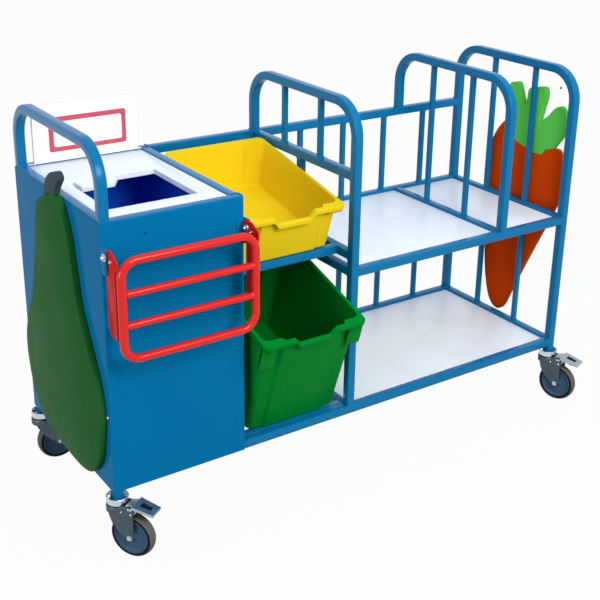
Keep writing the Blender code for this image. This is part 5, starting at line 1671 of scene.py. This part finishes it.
bpy.ops.mesh.primitive_plane_add(size=FLOOR_WIDTH)
floor = bpy.context.object
floor.name = "floor"
floor_finish, tree, shader, place = new_finish("white_studio_floor", Roughness=0.9)
shader.inputs["Base Color"].default_value = linear("84847F")
veil = add_node(tree, "ShaderNodeMath", {0: add_plain_view(tree), 1: FLOOR_VEIL}, operation="MULTIPLY")
white = add_node(tree, "ShaderNodeEmission", {"Color": WHITE, "Strength": FLOOR_GLOW})
floor_mix = add_node(tree, "ShaderNodeMixShader", {
    0: veil.outputs[0], 1: shader.outputs[0], 2: white.outputs[0],
})
tree.links.new(floor_mix.outputs[0], tree.nodes["Material Output"].inputs["Surface"])
floor.data.materials.append(floor_finish)
print("floor", floor.dimensions.x, "m wide")

# %% Sky
SKY_RIM = 0.7
SKY_TOP = 1.15
SKY_LEFT = 0.62
world = bpy.data.worlds.new("pale_sky")
bpy.context.scene.world = world
world.use_nodes = True
tree = world.node_tree
sky = tree.nodes["Background"]
ray = add_node(tree, "ShaderNodeTexCoord").outputs["Generated"]
parts = add_node(tree, "ShaderNodeSeparateXYZ", {"Vector": ray})
height = parts.outputs["Z"]
ramp = add_node(tree, "ShaderNodeValToRGB", {"Fac": height})
ramp.color_ramp.elements[0].color = WHITE
ramp.color_ramp.elements[1].color = linear("C4DCFF")
rays = add_plain_view(tree)
sky_mix = add_node(tree, "ShaderNodeMix", {
    0: rays, 6: ramp.outputs["Color"], 7: WHITE,
}, data_type="RGBA")
tree.links.new(sky_mix.outputs[2], sky.inputs["Color"])
aloft = add_node(tree, "ShaderNodeMapRange", {
    "Value": height, "From Min": 0.0, "From Max": 1.0, "To Min": SKY_RIM, "To Max": SKY_TOP,
}).outputs["Result"]
aside = add_node(tree, "ShaderNodeMapRange", {
    "Value": parts.outputs["X"], "From Min": -1.0, "From Max": 0.6, "To Min": SKY_LEFT, "To Max": 1.0,
}).outputs["Result"]
lit = add_node(tree, "ShaderNodeMath", {0: aloft, 1: aside}, operation="MULTIPLY").outputs[0]
strength = add_node(tree, "ShaderNodeMix", {0: rays, 2: lit, 3: 1.0}, data_type="FLOAT")
tree.links.new(strength.outputs[0], sky.inputs["Strength"])
print("sky from", SKY_RIM, "at its rim to", SKY_TOP, "overhead")

# %% [markdown]
# Three lamps give the soft sky a direction. A broad one from the front is the main light. A small
# one, high at the left, draws the crisp glints on bolts and bends. A wide one at the far left
# lifts the end of the trolley that would otherwise fall into shade.

# %% Lamps
LAMP_AIM = Vector((0, 0, 0.6))
# Name, width in metres, power in watts, and place
LAMPS = (
    ("broad_lamp", 1.5, 82, (0.0, -3.0, 2.5)),
    ("small_lamp", 0.3, 14, (-1.0, -2.7, 3.4)),
    ("side_lamp", 1.6, 58, (-4.4, -0.6, 1.1)),
)
for name, size, power, spot in LAMPS:
    lamp_data = bpy.data.lights.new(name, "AREA")
    lamp_data.shape = "DISK"
    lamp_data.size = size
    lamp_data.energy = power
    lamp = bpy.data.objects.new(name, lamp_data)
    bpy.context.scene.collection.objects.link(lamp)
    lamp.location = spot
    lamp.rotation_euler = (LAMP_AIM - lamp.location).to_track_quat("-Z", "Y").to_euler()
    print(name, "at", spot)

# %% [markdown]
# The camera was fitted to points on the frame. Its place is a distance from the left end, the
# front and the floor, and three angles turn it. The focus is given in pixels of a 600 pixel
# picture, with the pixel that it looks at straight on, and the lens and its shift follow.

# %% Camera
CAMERA_PLACE = at(-0.94783, -2.22670, 1.78783)
CAMERA_YAW = 0.6107
CAMERA_PITCH = 0.3672
CAMERA_ROLL = -0.0198
CAMERA_FOCUS = 1084.194
PRINCIPAL = 314.457, 246.084
FRAME_SIZE = 600

camera_data = bpy.data.cameras.new("camera")
camera = bpy.data.objects.new("camera", camera_data)
bpy.context.scene.collection.objects.link(camera)
camera_data.lens = camera_data.sensor_width * CAMERA_FOCUS / FRAME_SIZE
camera_data.shift_x = (FRAME_SIZE / 2 - PRINCIPAL[0]) / FRAME_SIZE
camera_data.shift_y = (PRINCIPAL[1] - FRAME_SIZE / 2) / FRAME_SIZE
camera.matrix_world = (
    Matrix.Translation(CAMERA_PLACE) @ Matrix.Rotation(-CAMERA_YAW, 4, "Z")
    @ Matrix.Rotation(QUARTER - CAMERA_PITCH, 4, "X") @ Matrix.Rotation(-CAMERA_ROLL, 4, "Z")
)
bpy.context.scene.camera = camera
bpy.context.scene.view_settings.view_transform = "Standard"
print("lens", round(camera_data.lens, 2), "mm")
